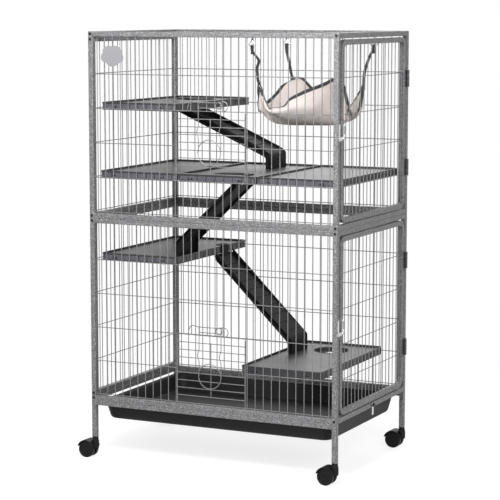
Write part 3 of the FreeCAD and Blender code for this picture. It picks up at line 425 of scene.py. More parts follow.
def deck(bm, wide, deep, bend, hole_y):
    """A shelf's floor, with a round hole where one is given."""
    part = bmesh.new()
    rounded_face(part, wide, deep, bend)
    if hole_y is not None:
        bmesh.ops.delete(part, geom=part.faces[:], context="FACES_ONLY")
        bmesh.ops.create_circle(part, cap_ends=False, segments=64, radius=HOLE + 1,
                                matrix=Matrix.Translation((0, hole_y, 0)))
        bmesh.ops.triangle_fill(part, use_beauty=True, use_dissolve=False, edges=part.edges[:])
    moved(part, Matrix.Translation((0, 0, DECK)))
    grow(part, (0, 0, -SKIN))
    merge(bm, part)


def slab(bm, points, way, edge, rounds=()):
    """A plate cut to an outline, with some corners rounded."""
    part = bmesh.new()
    verts = [part.verts.new(point) for point in points]
    part.faces.new(verts)
    for vert, radius in zip(verts, rounds):
        if radius:
            bevel(part, [vert], radius, 5, "VERTICES")
    grow(part, way)
    bevel_sharp(part, edge, 2, 30)
    merge(bm, part)


def spun(bm, profile, centre, axis, out, steps=24, sweep=360, closed=False, finish=0):
    """Turn a profile of radii and places along an axis."""
    part = bmesh.new()
    centre, axis, out = Vector(centre), Vector(axis), Vector(out)
    verts = [part.verts.new(centre + out * radius + axis * along) for radius, along in profile]
    geom = verts + [part.edges.new(pair) for pair in zip(verts, verts[1:])]
    if closed:
        geom.append(part.edges.new((verts[-1], verts[0])))
    if closed and sweep != 360:
        geom.append(part.faces.new(verts))
    bmesh.ops.spin(part, geom=geom, cent=centre, axis=axis, dvec=(0, 0, 0), angle=math.radians(sweep), steps=steps,
                   use_merge=sweep == 360)
    bmesh.ops.remove_doubles(part, verts=part.verts, dist=0.001)
    bmesh.ops.recalc_face_normals(part, faces=part.faces)
    merge(bm, part, finish)


def screw_head(bm, start, axis, radius, height):
    """A pan head with a round socket."""
    profile = ((0, 0.35), (0.44, 0.35), (0.5, 0.95), (0.78, 1), (1, 0.5), (1, 0))
    spun(bm, [(share * radius, rise * height) for share, rise in profile], start, axis, Z, steps=12)


def turns(count):
    return [2 * math.pi * k / count for k in range(count)]


def curve_mesh(points, fineness, radius=0, closed=False):
    """The mesh of a smooth line along points, a round wire where a radius is given."""
    curve = bpy.data.curves.new("path", "CURVE")
    curve.dimensions = "3D"
    curve.bevel_depth = radius
    curve.bevel_resolution = 2
    curve.use_fill_caps = True
    path = curve.splines.new("NURBS")
    path.points.add(len(points) - 1)
    for point, place in zip(path.points, points):
        point.co = (*place, 1)
    path.use_cyclic_u = closed
    path.use_endpoint_u = not closed
    path.order_u = 3
    path.resolution_u = fineness
    holder = bpy.data.objects.new("path", curve)
    data = bpy.data.meshes.new_from_object(holder)
    bpy.data.objects.remove(holder)
    bpy.data.curves.remove(curve)
    return data


def bent_wire(bm, points, radius=WIRE, closed=False, finish=0):
    """A wire bent smoothly along points."""
    data = curve_mesh(points, 5, radius, closed)
    data.polygons.foreach_set("material_index", [finish] * len(data.polygons))
    bm.from_mesh(data)
    bpy.data.meshes.remove(data)


def dressed(name, data, body, slot, replaced, finishes=()):
    """An object of the row in its slot's finish or given ones, riding a body and standing for CAD nodes."""
    for finish in finishes or [NODE_FINISH.get(slot, slot)]:
        data.materials.append(materials[finish])
    data.polygons.foreach_set("use_smooth", [True] * len(data.polygons))
    made = placed(name, data)
    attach(made, body)
    if replaced:
        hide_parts(*replaced)
    return made


def piece(name, bm, body, slot, replaced, *finishes):
    """Turn a rigid shape into an object of the row."""
    moved(bm, TO_ROW)
    data = as_mesh(bm, name)
    made = dressed(name, data, body, slot, replaced, finishes)
    data.set_sharp_from_angle(angle=SHARP)
    made.modifiers.new("even_shading", "WEIGHTED_NORMAL").keep_sharp = True


def spaced(count, half, gap):
    """Even places across a width, leaving a gap at both ends."""
    pitch = 2 * (half - gap) / (count - 1)
    return [gap - half + pitch * k for k in range(count)]


def rows(panel_z):
    return [panel_z + ROW_FIRST + k * ROW_PITCH for k in range(ROWS)]


# Front and back panels
def wide_panel(name, side, panel_z, post_z, hatch_rows, node):
    bm = bmesh.new()
    y_low, y_high = side * POST_Y - TUBE / 2, side * POST_Y + TUBE / 2
    panel_top = panel_z + MID_Z - BASE_Z
    for x in (-HALF_X, INNER_X):
        bar(bm, (x, y_low, post_z), (x + TUBE, y_high, panel_top))
    for z in (panel_z, panel_top - TUBE):
        bar(bm, (-INNER_X - LAP, y_low, z), (INNER_X + LAP, y_high, z + TUBE))
    levels = rows(panel_z)
    low, high = panel_z + TUBE - LAP, panel_top - TUBE + LAP
    wire_y, row_y = side * POST_Y, side * ROW_Y
    for x in spaced(FRONT_WIRES, INNER_X, FRONT_WIRE_GAP):
        if hatch_rows and abs(x) < HATCH_FLANK - WIRE:
            rod(bm, (x, wire_y, low), (x, wire_y, levels[hatch_rows[0]] + WIRE), finish=1)
            rod(bm, (x, wire_y, levels[hatch_rows[1]] - WIRE), (x, wire_y, high), finish=1)
        else:
            rod(bm, (x, wire_y, low), (x, wire_y, high), finish=1)
    for count, z in enumerate(levels):
        if hatch_rows and hatch_rows[0] < count < hatch_rows[1]:
            for hand in (-1, 1):
                rod(bm, (hand * INNER_X, row_y, z), (hand * (HATCH_FLANK - WIRE), row_y, z), finish=1)
        else:
            rod(bm, (-INNER_X, row_y, z), (INNER_X, row_y, z), finish=1)
    piece(name, bm, "frame", "frame_paint", [node], "frame_paint", "wire_paint")


wide_panel("front_grille_lower", -1, BASE_Z, LEG_TOP, LOWER_HATCH, "front_panel_lower")
wide_panel("front_grille_upper", -1, MID_Z, MID_Z, UPPER_HATCH, "front_panel_upper")
wide_panel("back_grille_lower", 1, BASE_Z, LEG_TOP, None, "back_panel_lower")
wide_panel("back_grille_upper", 1, MID_Z, MID_Z, None, "back_panel_upper")


# Left panels and the other rails between the posts
def side_rail(bm, x, z):
    bar(bm, (x, -INNER_Y, z), (x + TUBE, INNER_Y, z + TUBE))


def left_panel(name, low, high, panel_z, node):
    bm = bmesh.new()
    for z in (low, high - TUBE):
        side_rail(bm, -HALF_X, z)
    for y in spaced(SIDE_WIRES, INNER_Y, SIDE_WIRE_GAP):
        rod(bm, (-POST_X, y, low + TUBE - LAP), (-POST_X, y, high - TUBE + LAP), finish=1)
    for z in rows(panel_z):
        if low + TUBE < z < high - TUBE:
            rod(bm, (-POST_X - LAID, -ROW_END, z), (-POST_X - LAID, ROW_END, z), finish=1)
    piece(name, bm, "frame", "frame_paint", [node], "frame_paint", "wire_paint")


left_panel("left_grille_lower", BASE_Z + TUBE, MID_Z, BASE_Z, "left_panel_lower")
left_panel("left_grille_upper", MID_Z, TOP_Z - TUBE, MID_Z, "left_panel_upper")

bm = bmesh.new()
for x in (-HALF_X, INNER_X):
    side_rail(bm, x, BASE_Z)
piece("base_rails", bm, "frame", "frame_paint", ["base_side_rails"])
bm = bmesh.new()
for z in (MID_Z - TUBE, MID_Z):
    side_rail(bm, INNER_X, z)
piece("door_mid_rails", bm, "frame", "frame_paint", ["right_mid_rails"])

bm = bmesh.new()
for x in (-HALF_X, INNER_X):
    side_rail(bm, x, TOP_Z - TUBE)
roof_z = TOP_Z - TUBE / 2
for y in spaced(SIDE_WIRES, INNER_Y, SIDE_WIRE_GAP):
    rod(bm, (-INNER_X - LAP, y, roof_z), (INNER_X + LAP, y, roof_z), finish=1)
for x in spaced(ROOF_CROSS_WIRES, INNER_X, ROOF_CROSS_GAP):
    rod(bm, (x, -ROW_END, roof_z + LAID), (x, ROW_END, roof_z + LAID), finish=1)
piece("roof_grille", bm, "frame", "frame_paint", ["roof_panel"], "frame_paint", "wire_paint")


# Right side doors: a bent square tube with wires in it
def door(level, low, high, panel_z):
    bm = bmesh.new()
    low, high = low + DOOR_GAP, high - DOOR_GAP
    middle, half = (DOOR_FRONT + DOOR_BACK) / 2, (DOOR_BACK - DOOR_FRONT) / 2
    hoop(bm, facing_x(INNER_X, middle, (low + high) / 2), 2 * half, high - low, DOOR_BEND, TUBE, TUBE, EDGE)
    bend = DOOR_BEND - TUBE
    for y in spaced(DOOR_WIRES, half - TUBE, DOOR_WIRE_GAP):
        from_bend = max(0, bend - (half - TUBE - abs(y)))
        rise = TUBE - LAP + bend - math.sqrt(bend ** 2 - from_bend ** 2)
        rod(bm, (POST_X, middle + y, low + rise), (POST_X, middle + y, high - rise), finish=1)
    for z in rows(panel_z):
        if low + DOOR_BEND < z < high - DOOR_BEND:
            x = POST_X + LAID
            rod(bm, (x, DOOR_FRONT + TUBE - LAP, z), (x, DOOR_BACK - TUBE + LAP, z), finish=1)
    name = level + "_door"
    piece(name + "_grille", bm, name, "frame_paint", [name], "frame_paint", "wire_paint")


door("lower", BASE_Z + TUBE, MID_Z - TUBE, BASE_Z)
door("upper", MID_Z + TUBE, TOP_Z - TUBE, MID_Z)


# Butt hinges: knuckles on a pin, plates with two small screws
def hinge_plate(bm, y, z):
    bar(bm, (HALF_X, y, z), (HALF_X + LEAF, y + HINGE_LEAF, z + HINGE_TALL), edge=0.5)
    for share in (0.18, 0.82):
        screw_head(bm, (HALF_X + LEAF, y + HINGE_LEAF / 2, z + HINGE_TALL * share), X, 2.4, 0.8)


def knuckle(bm, low, high, way):
    rod(bm, (HINGE_X, HINGE_Y, low), (HINGE_X, HINGE_Y, high), BARREL, 20)
    near, far = sorted((HINGE_Y, HINGE_Y + way * (BARREL + 1)))
    bar(bm, (HALF_X, near, low), (HALF_X + LEAF, far, high), edge=0.4)


def hinges(level, low, high):
    bm = bmesh.new()
    for middle in (low + DOOR_GAP + HINGE_END, high - DOOR_GAP - HINGE_END):
        z = middle - HINGE_TALL / 2
        hinge_plate(bm, HINGE_Y - BARREL - HINGE_LEAF, z)
        reach = HINGE_TALL * MIDDLE_KNUCKLE / 2
        knuckle(bm, middle - reach, middle + reach, -1)
        hinge_plate(post_leaves, HINGE_Y + BARREL, z)
        for end in (z, z + HINGE_TALL * (1 - END_KNUCKLE)):
            knuckle(post_leaves, end, end + HINGE_TALL * END_KNUCKLE, 1)
        long = HINGE_TALL + 2 * PIN_PAST
        spun(pins, ((0, 0), (1.6, 0), (2.5, 0.9), (2.5, long - 0.9), (1.6, long), (0, long)),
             (HINGE_X, HINGE_Y, z - PIN_PAST), Z, X, steps=16)
    name = level + "_door"
    piece(name + "_hinges", bm, name, "hinge_paint", [name + "_hinge_leaves"])


post_leaves, pins = bmesh.new(), bmesh.new()
hinges("lower", BASE_Z + TUBE, MID_Z - TUBE)
hinges("upper", MID_Z + TUBE, TOP_Z - TUBE)
piece("post_hinges", post_leaves, "frame", "hinge_paint", ["frame_hinge_leaves"])
piece("hinge_rods", pins, "frame", "bright_steel", ["hinge_pins"])


# Door latches: a plated base with a stud, a lever with a folded finger tab, and a keeper on the post
STUD = ((0, 0), (3, 0), (3, 4.5), (5, 4.5), (4.8, 5.6), (3.4, 6.4), (0, 6.5))
TAB_LOW, TAB_HIGH, TAB_OUT = 28, 5, 4


def door_latch(level, middle):
    stile = DOOR_FRONT + TUBE / 2
    low, high = middle - LATCH_TALL / 2, middle + LATCH_TALL / 2
    half = LATCH_ARM_TALL / 2
    pivot = low + half
    bm = bmesh.new()
    bar(bm, (HALF_X, stile - half - 0.5, low), (HALF_X + PLATE, stile + half + 0.5, high), edge=0.4)
    spun(bm, STUD, (HALF_X, stile, pivot), X, Y)
    piece(level + "_latch_stud", bm, level + "_door", "nickel", [level + "_door_latch_base"])
    bm = bmesh.new()
    lever = HALF_X + PLATE + PLAY
    reach = stile - LATCH_ARM
    corners = ((reach, low), (stile + half, low), (stile + half, high), (stile - half, high),
               (stile - half, pivot + half), (reach, pivot + half))
    slab(bm, [(lever, y, z) for y, z in corners], X * PLATE, 0.35, rounds=(3, 3, 4, 4, 3, 3))
    bar(bm, (lever, stile + half - PLATE, high - TAB_LOW), (lever + TAB_OUT, stile + half, high - TAB_HIGH), edge=0.5)
    piece(level + "_latch_lever", bm, level + "_door_latch", "nickel", [level + "_door_latch"])
    bar(keepers, (HALF_X, -POST_Y - half, low), (HALF_X + PLATE, -POST_Y + half, high), edge=0.4)
    rest = pivot - half - PLAY
    bar(keepers, (HALF_X, -POST_Y - half, rest - PLATE), (HALF_X + TAB_OUT, -POST_Y + half, rest), edge=0.4)
    screw_head(keepers, (HALF_X + PLATE, -POST_Y, high - 7), X, 2.6, 0.8)


keepers = bmesh.new()
door_latch("lower", (BASE_Z + MID_Z) / 2)
door_latch("upper", (MID_Z + TOP_Z) / 2)
piece("post_keepers", keepers, "frame", "nickel", ["latch_keepers"])


# Front hatches: bars on two uprights whose eyes turn on a row wire, and the bent-wire latch with its finger ring
UPRIGHT, EYE, EYE_WIRE = 1.5, 2.6, 1


def hatch(level, panel_z, hatch_rows):
    levels = rows(panel_z)
    hinge_z, top = levels[hatch_rows[0]], levels[hatch_rows[1]]
    bar_y = -ROW_Y - LAID
    bm = bmesh.new()
    for x in (-HATCH_SIDE, HATCH_SIDE):
        rod(bm, (x, -ROW_Y, hinge_z + 2.4), (x, -ROW_Y, top - 4), UPRIGHT)
        eye = [(x, -ROW_Y + EYE * math.sin(turn), hinge_z + EYE * math.cos(turn)) for turn in turns(8)]
        bent_wire(bm, eye, EYE_WIRE, closed=True)
    pitch = (top - hinge_z) / (HATCH_BARS + 1)
    for k in range(HATCH_BARS):
        z = hinge_z + pitch * (k + 1)
        rod(bm, (-HATCH_SIDE - 2, bar_y, z), (HATCH_SIDE + 2, bar_y, z))
    rod(bm, (0, -ROW_Y, hinge_z + pitch - 2), (0, -ROW_Y, top - pitch + 2))
    piece(level + "_hatch_bars", bm, level + "_hatch", "wire_steel", [level + "_hatch"])
    hatch_latch(level, top, bar_y - LAID - PLAY)


# The latch's bends, as places across and heights above the row wire
LEG_BENDS = ((0, 27), (0, -20), (0, -45), (-5, -53), (-5, -65), (0, -73), (0, -100), (0, -118))
EAR_BENDS = ((-73, 2), (-71, 16), (-62, 29), (-50, 27), (-40, 25), (0, 25), (38, 25))
HOOK_BENDS = ((30, 27), (42, 30), (56, 27), (61, 15), (56, 4), (48, 1.5))
CROSS_RISE = 9.5
# Its finger ring and its small coil: place across, rise, radius and points
LOOPS = ((0, -RING_DROP, RING, 16), (30, 17, 10.5, 10))


def hatch_latch(level, top, pull_y):
    cross_y, ring_y = pull_y + LAID, pull_y - LAID
    bm = bmesh.new()
    for x in (-LEG_X, LEG_X):
        bent_wire(bm, [(x + left, pull_y, top + rise) for left, rise in LEG_BENDS])
    for x, rise, radius, count in LOOPS:
        loop = [(x + radius * math.sin(turn), ring_y, top + rise + radius * math.cos(turn)) for turn in turns(count)]
        bent_wire(bm, loop, closed=True)
    rod(bm, (-LEG_X - 2, cross_y, top + CROSS_RISE), (LEG_X + 2, cross_y, top + CROSS_RISE))
    bent_wire(bm, [(x, cross_y, top + rise) for x, rise in EAR_BENDS])
    bent_wire(bm, [(x, ring_y, top + rise) for x, rise in HOOK_BENDS])
    name = level + "_hatch_latch"
    piece(level + "_hatch_pull", bm, name, "wire_steel", [name])


hatch("lower", BASE_Z, LOWER_HATCH)
hatch("upper", MID_Z, UPPER_HATCH)


# Moulded shelves: a deck in a ribbed wall, some with a collared hole, hung by wire hooks
# The wall's foot, rim and set-back panel: low and high, inset, thickness and edge
SHELF_WALL = ((0, 4, 0, SKIN, 0.8), (18, SHELF_TALL, 0, SKIN, 1.3), (3, 19, 1.2, 2, 0.2))
COLLAR = ((HOLE, 2), (HOLE, 17), (HOLE + 0.6, 17.9), (HOLE + 2, 18.2), (HOLE + 3, 17), (HOLE + 3, 2))
RIB, RIB_OUT, RIB_INSET, RIB_LOW, RIB_HIGH, END_RIBS, SIDE_RIBS = 1.1, 0.8, 0.9, 3, 19, 9, 17
PEGS, PEG_Y, PEG_Z = (-86, -76, 76, 86), (233, 234.3), 9
HOOK_IN = 28
# Stiffeners under the deck: how many, how far in, half as long, and from where to where
STIFFENERS, STIFFENER_IN, STIFFENER_HALF, STIFFENER_LOW, STIFFENER_HIGH = 4, 50, 108, 5, 9


def shelf(name, x, row_z, hole_side, turn=0):
    bm = bmesh.new()
    wide, deep = SHELF_WIDE, SHELF_DEEP
    for low, high, inset, wall, edge in SHELF_WALL:
        place = Matrix.Translation((0, 0, low))
        hoop(bm, place, wide - 2 * inset, deep - 2 * inset, SHELF_BEND - inset, wall, high - low, edge,
             2 if inset else 0)
    # Painted highlight: the lighter panel plastic stands in for the lamps' reflection, so it goes on the front and back
    # faces only, and the low right shelf, which sits in shade, keeps the dark plastic
    for face in bm.faces:
        if face.material_index == 2 and (abs(face.normal.y) < 0.7 or name == "shelf_low_right"):
            face.material_index = 0
    hole_y = hole_side * (deep / 2 - HOLE_END)
    deck(bm, wide - 5, deep - 5, SHELF_BEND - 2.5, hole_y if hole_side else None)
    if hole_side:
        spun(bm, COLLAR, (0, hole_y, 0), Z, X, steps=64, closed=True)
    for side in (-1, 1):
        y, edge_x = side * (deep / 2 - RIB_INSET), side * (wide / 2 - RIB_INSET)
        for along in spaced(END_RIBS, wide / 2, SHELF_BEND):
            bar(bm, (along - RIB, y - RIB_OUT, RIB_LOW), (along + RIB, y + RIB_OUT, RIB_HIGH), 0.3, 1)
        for along in spaced(SIDE_RIBS, deep / 2, SHELF_BEND):
            bar(bm, (edge_x - RIB_OUT, along - RIB, RIB_LOW), (edge_x + RIB_OUT, along + RIB, RIB_HIGH), 0.3, 1)
        for along in PEGS:
            rod(bm, (along, side * PEG_Y[0], PEG_Z), (along, side * PEG_Y[1], PEG_Z), 4.4, 3, finish=1)
        middle = side * deep / 4
        for along in spaced(STIFFENERS, wide / 2, STIFFENER_IN):
            bar(bm, (along - 1, middle - STIFFENER_HALF, STIFFENER_LOW),
                (along + 1, middle + STIFFENER_HALF, STIFFENER_HIGH), 0.3, 1)
    spin = Matrix.Translation((x, 0, row_z - SHELF_DROP)) @ Matrix.Rotation(math.radians(-turn), 4, "Z")
    moved(bm, spin)
    piece(name + "_moulding", bm, "frame", "shelf_plastic", [name], "shelf_plastic", "black_plastic", "shelf_panel_painted_highlight")
    angle = math.radians(turn)
    for side in (-1, 1):
        for hand in (-1, 1):
            hook_x = round((x + hand * (wide / 2 - HOOK_IN)) / FRONT_PITCH) * FRONT_PITCH
            end_y = side * deep / 2 / math.cos(angle) - (hook_x - x) * math.tan(angle)
            over, front = row_z + LAID + PLAY, side * (ROW_Y + LAID + PLAY)
            bends = ((end_y, over), (side * ROW_Y - side * 6, over), (front, over), (front, row_z - 4))
            bent_wire(hooks, [(hook_x, y, z) for y, z in bends])


hooks = bmesh.new()
lower_rows, upper_rows = rows(BASE_Z), rows(MID_Z)
HIGH_ROW, MID_ROW, LEFT_ROW, RIGHT_ROW = upper_rows[3], upper_rows[1], lower_rows[4], lower_rows[1]
HIGH_X, LEFT_X, RIGHT_X, STEP = -245.8, -254.3, 209.5, SHELF_WIDE + 1
shelf("shelf_high_left", HIGH_X, HIGH_ROW, 1, turn=SHELF_ASKEW)
shelf("shelf_mid_left", -STEP, MID_ROW, 0)
shelf("shelf_mid_centre", 0, MID_ROW, -1)
shelf("shelf_mid_right", STEP, MID_ROW, 0)
shelf("shelf_low_left", LEFT_X, LEFT_ROW, 0)
shelf("shelf_low_right", RIGHT_X, RIGHT_ROW, 1)
piece("shelf_wire_hooks", hooks, "frame", "wire_steel", ["shelf_hooks"])


# Ramps: a ribbed board between two rims, an upright foot with a round shoulder, and a lip that hooks on a shelf
def ramp_board(name, top_x, top_row, lip_rise, foot_x, foot_row, y):
    way = 1 if foot_x > top_x else -1
    start = top_row - SHELF_DROP + DECK - SKIN - RAMP_RIM - RAMP_LOW
    foot = foot_row - SHELF_DROP + DECK + PLAY
    run = abs(foot_x - top_x)
    shoulder = foot + RAMP_FOOT
    slope = math.atan2(start - shoulder, run)
    thick, half = SKIN / math.cos(slope), RAMP_WIDE / 2
    bm = bmesh.new()

    def side_view(points, low_y, wide, edge, rounds):
        slab(bm, [(top_x + way * along, low_y, z) for along, z in points], Y * wide, edge, rounds)

    top = start + RAMP_TUCK * math.tan(slope)
    board = ((-RAMP_TUCK, top), (run, shoulder), (run, foot), (run - SKIN, foot), (run - SKIN, shoulder - thick),
             (-RAMP_TUCK, top - thick))
    side_view(board, y - half, RAMP_WIDE, 0.4, (0, 12, 0, 0, 9, 0))
    for low_y in (y - half, y + half - SKIN):
        rim = ((0, start + RAMP_RIM), (run - RAMP_RIM, shoulder + RAMP_RIM), (run, shoulder), (run, foot),
               (run - RAMP_RIM, foot), (run - RAMP_RIM, shoulder - RAMP_SKIRT), (0, start - RAMP_SKIRT))
        side_view(rim, low_y, SKIN, 0.8, (5, 16, 10, 0, 0, 6, 0))
    for along in spaced(RAMP_RIBS, run / 2, run / (RAMP_RIBS + 1)):
        middle = run / 2 + along
        surface = start - middle * math.tan(slope)
        ahead, lower = middle + TREAD, surface - TREAD * math.tan(slope)
        rib = ((middle, surface + 2), (ahead, lower + 2), (ahead, lower - 1), (middle, surface - 1))
        side_view(rib, y - half + SKIN / 2, RAMP_WIDE - SKIN, 0.6, ())
    lip = top_row - SHELF_DROP + lip_rise + PLAY
    hook = ((0, start - thick), (0, lip), (-HOOK_LONG, lip), (-HOOK_LONG, lip + SKIN), (SKIN, lip + SKIN),
            (SKIN, start - thick))
    side_view(hook, y - HOOK_WIDE / 2, HOOK_WIDE, 0.5, (0, 0, 0, 0, 2, 0))
    piece(name + "_board", bm, "frame", "black_plastic", [name])


HOLE_Y = SHELF_DEEP / 2 - HOLE_END
CHORD = math.sqrt(HOLE ** 2 - (HOOK_WIDE / 2) ** 2) - PLAY
EDGE_X = LEFT_X + SHELF_WIDE / 2
high_hole = HIGH_X + HOLE_Y * math.sin(math.radians(SHELF_ASKEW))
ramp_board("ramp_high", high_hole - CHORD, HIGH_ROW, DECK, 28, MID_ROW, HOLE_Y)
ramp_board("ramp_middle", CHORD, MID_ROW, DECK, EDGE_X - 23, LEFT_ROW, -HOLE_Y)
ramp_board("ramp_low", EDGE_X + PLAY, LEFT_ROW, SHELF_TALL, RIGHT_X - SHELF_WIDE / 2 + 46, RIGHT_ROW, 78)


# Litter tray: one drawn skin with round bottom edges and a flat rim, then given its thickness
bm = bmesh.new()
rounded_face(bm, 2 * TRAY_FLOOR_X, 2 * TRAY_FLOOR_Y, TRAY_BEND, 8)
moved(bm, Matrix.Translation((0, 0, TRAY_BOTTOM)))
wall_scale = (TRAY_WALL_X / TRAY_FLOOR_X, TRAY_WALL_Y / TRAY_FLOOR_Y, 1)
rim_scale = (TRAY_RIM_X / TRAY_WALL_X, TRAY_RIM_Y / TRAY_WALL_Y, 1)
for rise, scale in ((TRAY_TOP - TRAY_BOTTOM, wall_scale), (0, rim_scale)):
    border = [line for line in bm.edges if line.is_boundary]
    verts = new_verts(bmesh.ops.extrude_edge_only(bm, edges=border))
    bmesh.ops.scale(bm, vec=scale, verts=verts)
    bmesh.ops.translate(bm, vec=(0, 0, rise), verts=verts)
bmesh.ops.recalc_face_normals(bm, faces=bm.faces)
bevel_sharp(bm, 7, 5, 35)
bmesh.ops.solidify(bm, geom=bm.faces[:], thickness=SKIN)
piece("tray_pan", bm, "tray", "black_plastic", ["litter_tray"], "tray_plastic")

# Tray runners with a ledge for the rim
bm = bmesh.new()
for side in (-1, 1):
    bar(bm, (-INNER_X, side * POST_Y - TUBE / 2, BASE_Z - TUBE), (INNER_X, side * POST_Y + TUBE / 2, BASE_Z))
    near, far = sorted((side * (INNER_Y + 0.5), side * (INNER_Y - 8)))
    bar(bm, (-INNER_X, near, LEDGE_Z), (INNER_X, far, LEDGE_Z + 2), edge=0.4)
piece("runner_tubes", bm, "frame", "frame_paint", ["tray_runners"])


# Tray catches: a rounded tab under a knobbed screw
CATCH = ((-6, 6), (6, 6), (6, -30), (-6, -30))
KNOB = ((0, 0), (2.5, 0), (2.5, 2.1), (5.4, 2.1), (6, 3), (6, 6.4), (5.2, 7.6), (3, 8.1), (0, 8.1))


def tray_catch(hand, side, aside):
    z = BASE_Z + TUBE / 2
    face = side * (HALF_X + PLAY)
    bm = bmesh.new()
    points = [(face, -low, across) if aside else (face, across, low) for across, low in CATCH]
    slab(bm, [(x, y, z + rise) for x, y, rise in points], X * (side * PLATE), 0.35, rounds=(5, 5, 5, 5))
    piece(f"catch_tab_{hand}", bm, f"tray_catch_{hand}", "bright_steel", [f"tray_catch_{hand}"])
    spun(catch_knobs, KNOB, (side * HALF_X, 0, z), X * side, Y, steps=24)


catch_knobs = bmesh.new()
tray_catch("left", -1, True)
tray_catch("right", 1, False)
piece("catch_knobs", catch_knobs, "frame", "screw_black", ["catch_screws"])

# Screws through the posts
bm = bmesh.new()
half = TUBE / 2
right_screws = (TOP_Z - half, MID_Z + half, MID_Z - half, BASE_Z + half)
left_screws = (*right_screws, TOP_Z - 3 * half, BASE_Z + 3 * half)
for side in (-1, 1):
    for x, heights in ((-POST_X, left_screws), (POST_X, right_screws)):
        for z in heights:
            screw_head(bm, (x, side * HALF_Y, z), Y * side, 4, 2)
piece("post_screws", bm, "frame", "screw_black", ["frame_screws"])

# Badge: a bare plate with five lobes and a raised border
bm = bmesh.new()
plate = bmesh.ops.create_circle(bm, cap_ends=True, segments=80, radius=1)["verts"]
for vert in plate:
    turn = math.atan2(vert.co.y, vert.co.x)
    vert.co *= 1 - LOBE_DEEP + LOBE_DEEP * abs(math.cos(LOBES / 2 * (turn + math.pi / 2))) ** 0.8
low_x, high_x = min(vert.co.x for vert in plate), max(vert.co.x for vert in plate)
low_y, high_y = min(vert.co.y for vert in plate), max(vert.co.y for vert in plate)
bmesh.ops.translate(bm, vec=(-(low_x + high_x) / 2, -(low_y + high_y) / 2, 0), verts=plate)
bmesh.ops.scale(bm, vec=(BADGE_WIDE / (high_x - low_x), BADGE_TALL / (high_y - low_y), 1), verts=plate)
grow(bm, (0, 0, BADGE_THICK))
front = max(bm.faces, key=lambda part: part.calc_center_median().z)
bmesh.ops.inset_region(bm, faces=[front], thickness=BADGE_BORDER, use_even_offset=True)
bmesh.ops.translate(bm, vec=(0, 0, -BADGE_SUNK), verts=front.verts)
bevel_sharp(bm, 0.25, 2, 60)
upright = Matrix.Translation((BADGE_X, -POST_Y - WIRE, BADGE_Z)) @ Matrix.Rotation(math.pi / 2, 4, "X")
moved(bm, upright)
piece("badge_rosette", bm, "frame", "badge_plate", ["badge_plate"])


# Legs and twin-wheel casters
WHEEL = ((0, 5.4), (5, 5.4), (6, 6.6), (8.4, 6.9), (9.4, 5.4), (18.6, 4.8), (20, 6.6), (22, 7), (24, 6.2), (25, 4),
         (25, -4), (24, -6.2), (22, -7), (10, -7), (9, -6), (0, -6))
HOOD = ((9, -4), (26, -4), (26.2, -21.6), (27.4, -22), (29, -20.2), (29, 20.2), (27.4, 22), (26.2, 21.6), (26, 4),
        (9, 4))
STEM_SHELL = ((0, 5), (11, 5), (11, 27), (9.6, 29), (9.6, 34.6), (8.4, 36.7), (0, 36.7))
# How far the wheels trail the leg, their axle's height, and where the hood starts and how far it turns
TRAIL, AXLE_Z, HOOD_START, HOOD_SWEEP = 24, 25, -18, -144
# Half the width of the leg's plug and of the hood's web, its hub, the wheels' distance from it, and the axle's radius
PLUG, WEB, HUB, WHEEL_OUT, AXLE = 7.2, 4, 12, 12, 3


def caster(corner, x, y):
    bm = bmesh.new()
    bar(bm, (x - TUBE / 2, y - TUBE / 2, CASTER_TOP + 2), (x + TUBE / 2, y + TUBE / 2, LEG_TOP))
    bar(bm, (x - PLUG, y - PLUG, CASTER_TOP), (x + PLUG, y + PLUG, CASTER_TOP + 3), 0.8, finish=1)
    piece("leg_" + corner + "_tube", bm, "frame", "frame_paint", ["leg_" + corner], "frame_paint", "black_plastic")
    name = "caster_" + corner
    axle = Vector((x - TRAIL, y, AXLE_Z))
    bm = bmesh.new()
    start = Matrix.Rotation(math.radians(HOOD_START), 3, "Y") @ X
    spun(bm, HOOD, axle, Y, start, steps=28, sweep=HOOD_SWEEP, closed=True)
    rod(bm, axle - Y * WEB, axle + Y * WEB, HUB, 24)
    bar(bm, axle + Vector((0, -WEB, 9)), axle + Vector((TRAIL, WEB, 25)), 1)
    spun(bm, STEM_SHELL, (x, y, AXLE_Z), Z, X, steps=24)
    piece(name + "_shell", bm, name, "caster_plastic", [name + "_hood"])
    bm = bmesh.new()
    for side in (-1, 1):
        spun(bm, WHEEL, axle + Y * (side * WHEEL_OUT), Y * side, X, steps=40)
    rod(bm, axle - Y * WHEEL_OUT / 2, axle + Y * WHEEL_OUT / 2, AXLE, 12)
    piece(name + "_rollers", bm, name + "_wheels", "caster_plastic", [name + "_wheels"])


for end, y in (("front", -POST_Y), ("back", POST_Y)):
    for hand, x in (("left", -POST_X), ("right", POST_X)):
        caster(f"{end}_{hand}", x, y)


# Hammock: a cloth cut flat, held at places along its bound edge and left to sag, with webbing straps and snap clips
CLOTH_WIDE, CLOTH_LONG, CLOTH_START = 0.340, 0.325, (204, 3, 1134)
CLOTH_ACROSS, CLOTH_ALONG = 36, 34
HANG_FRAMES, SAG_FRAMES = 24, 60
CLOTH_FEEL = {"quality": 8, "mass": 0.15, "tension_stiffness": 30, "compression_stiffness": 30, "shear_stiffness": 8,
              "bending_stiffness": 5, "air_damping": 6}
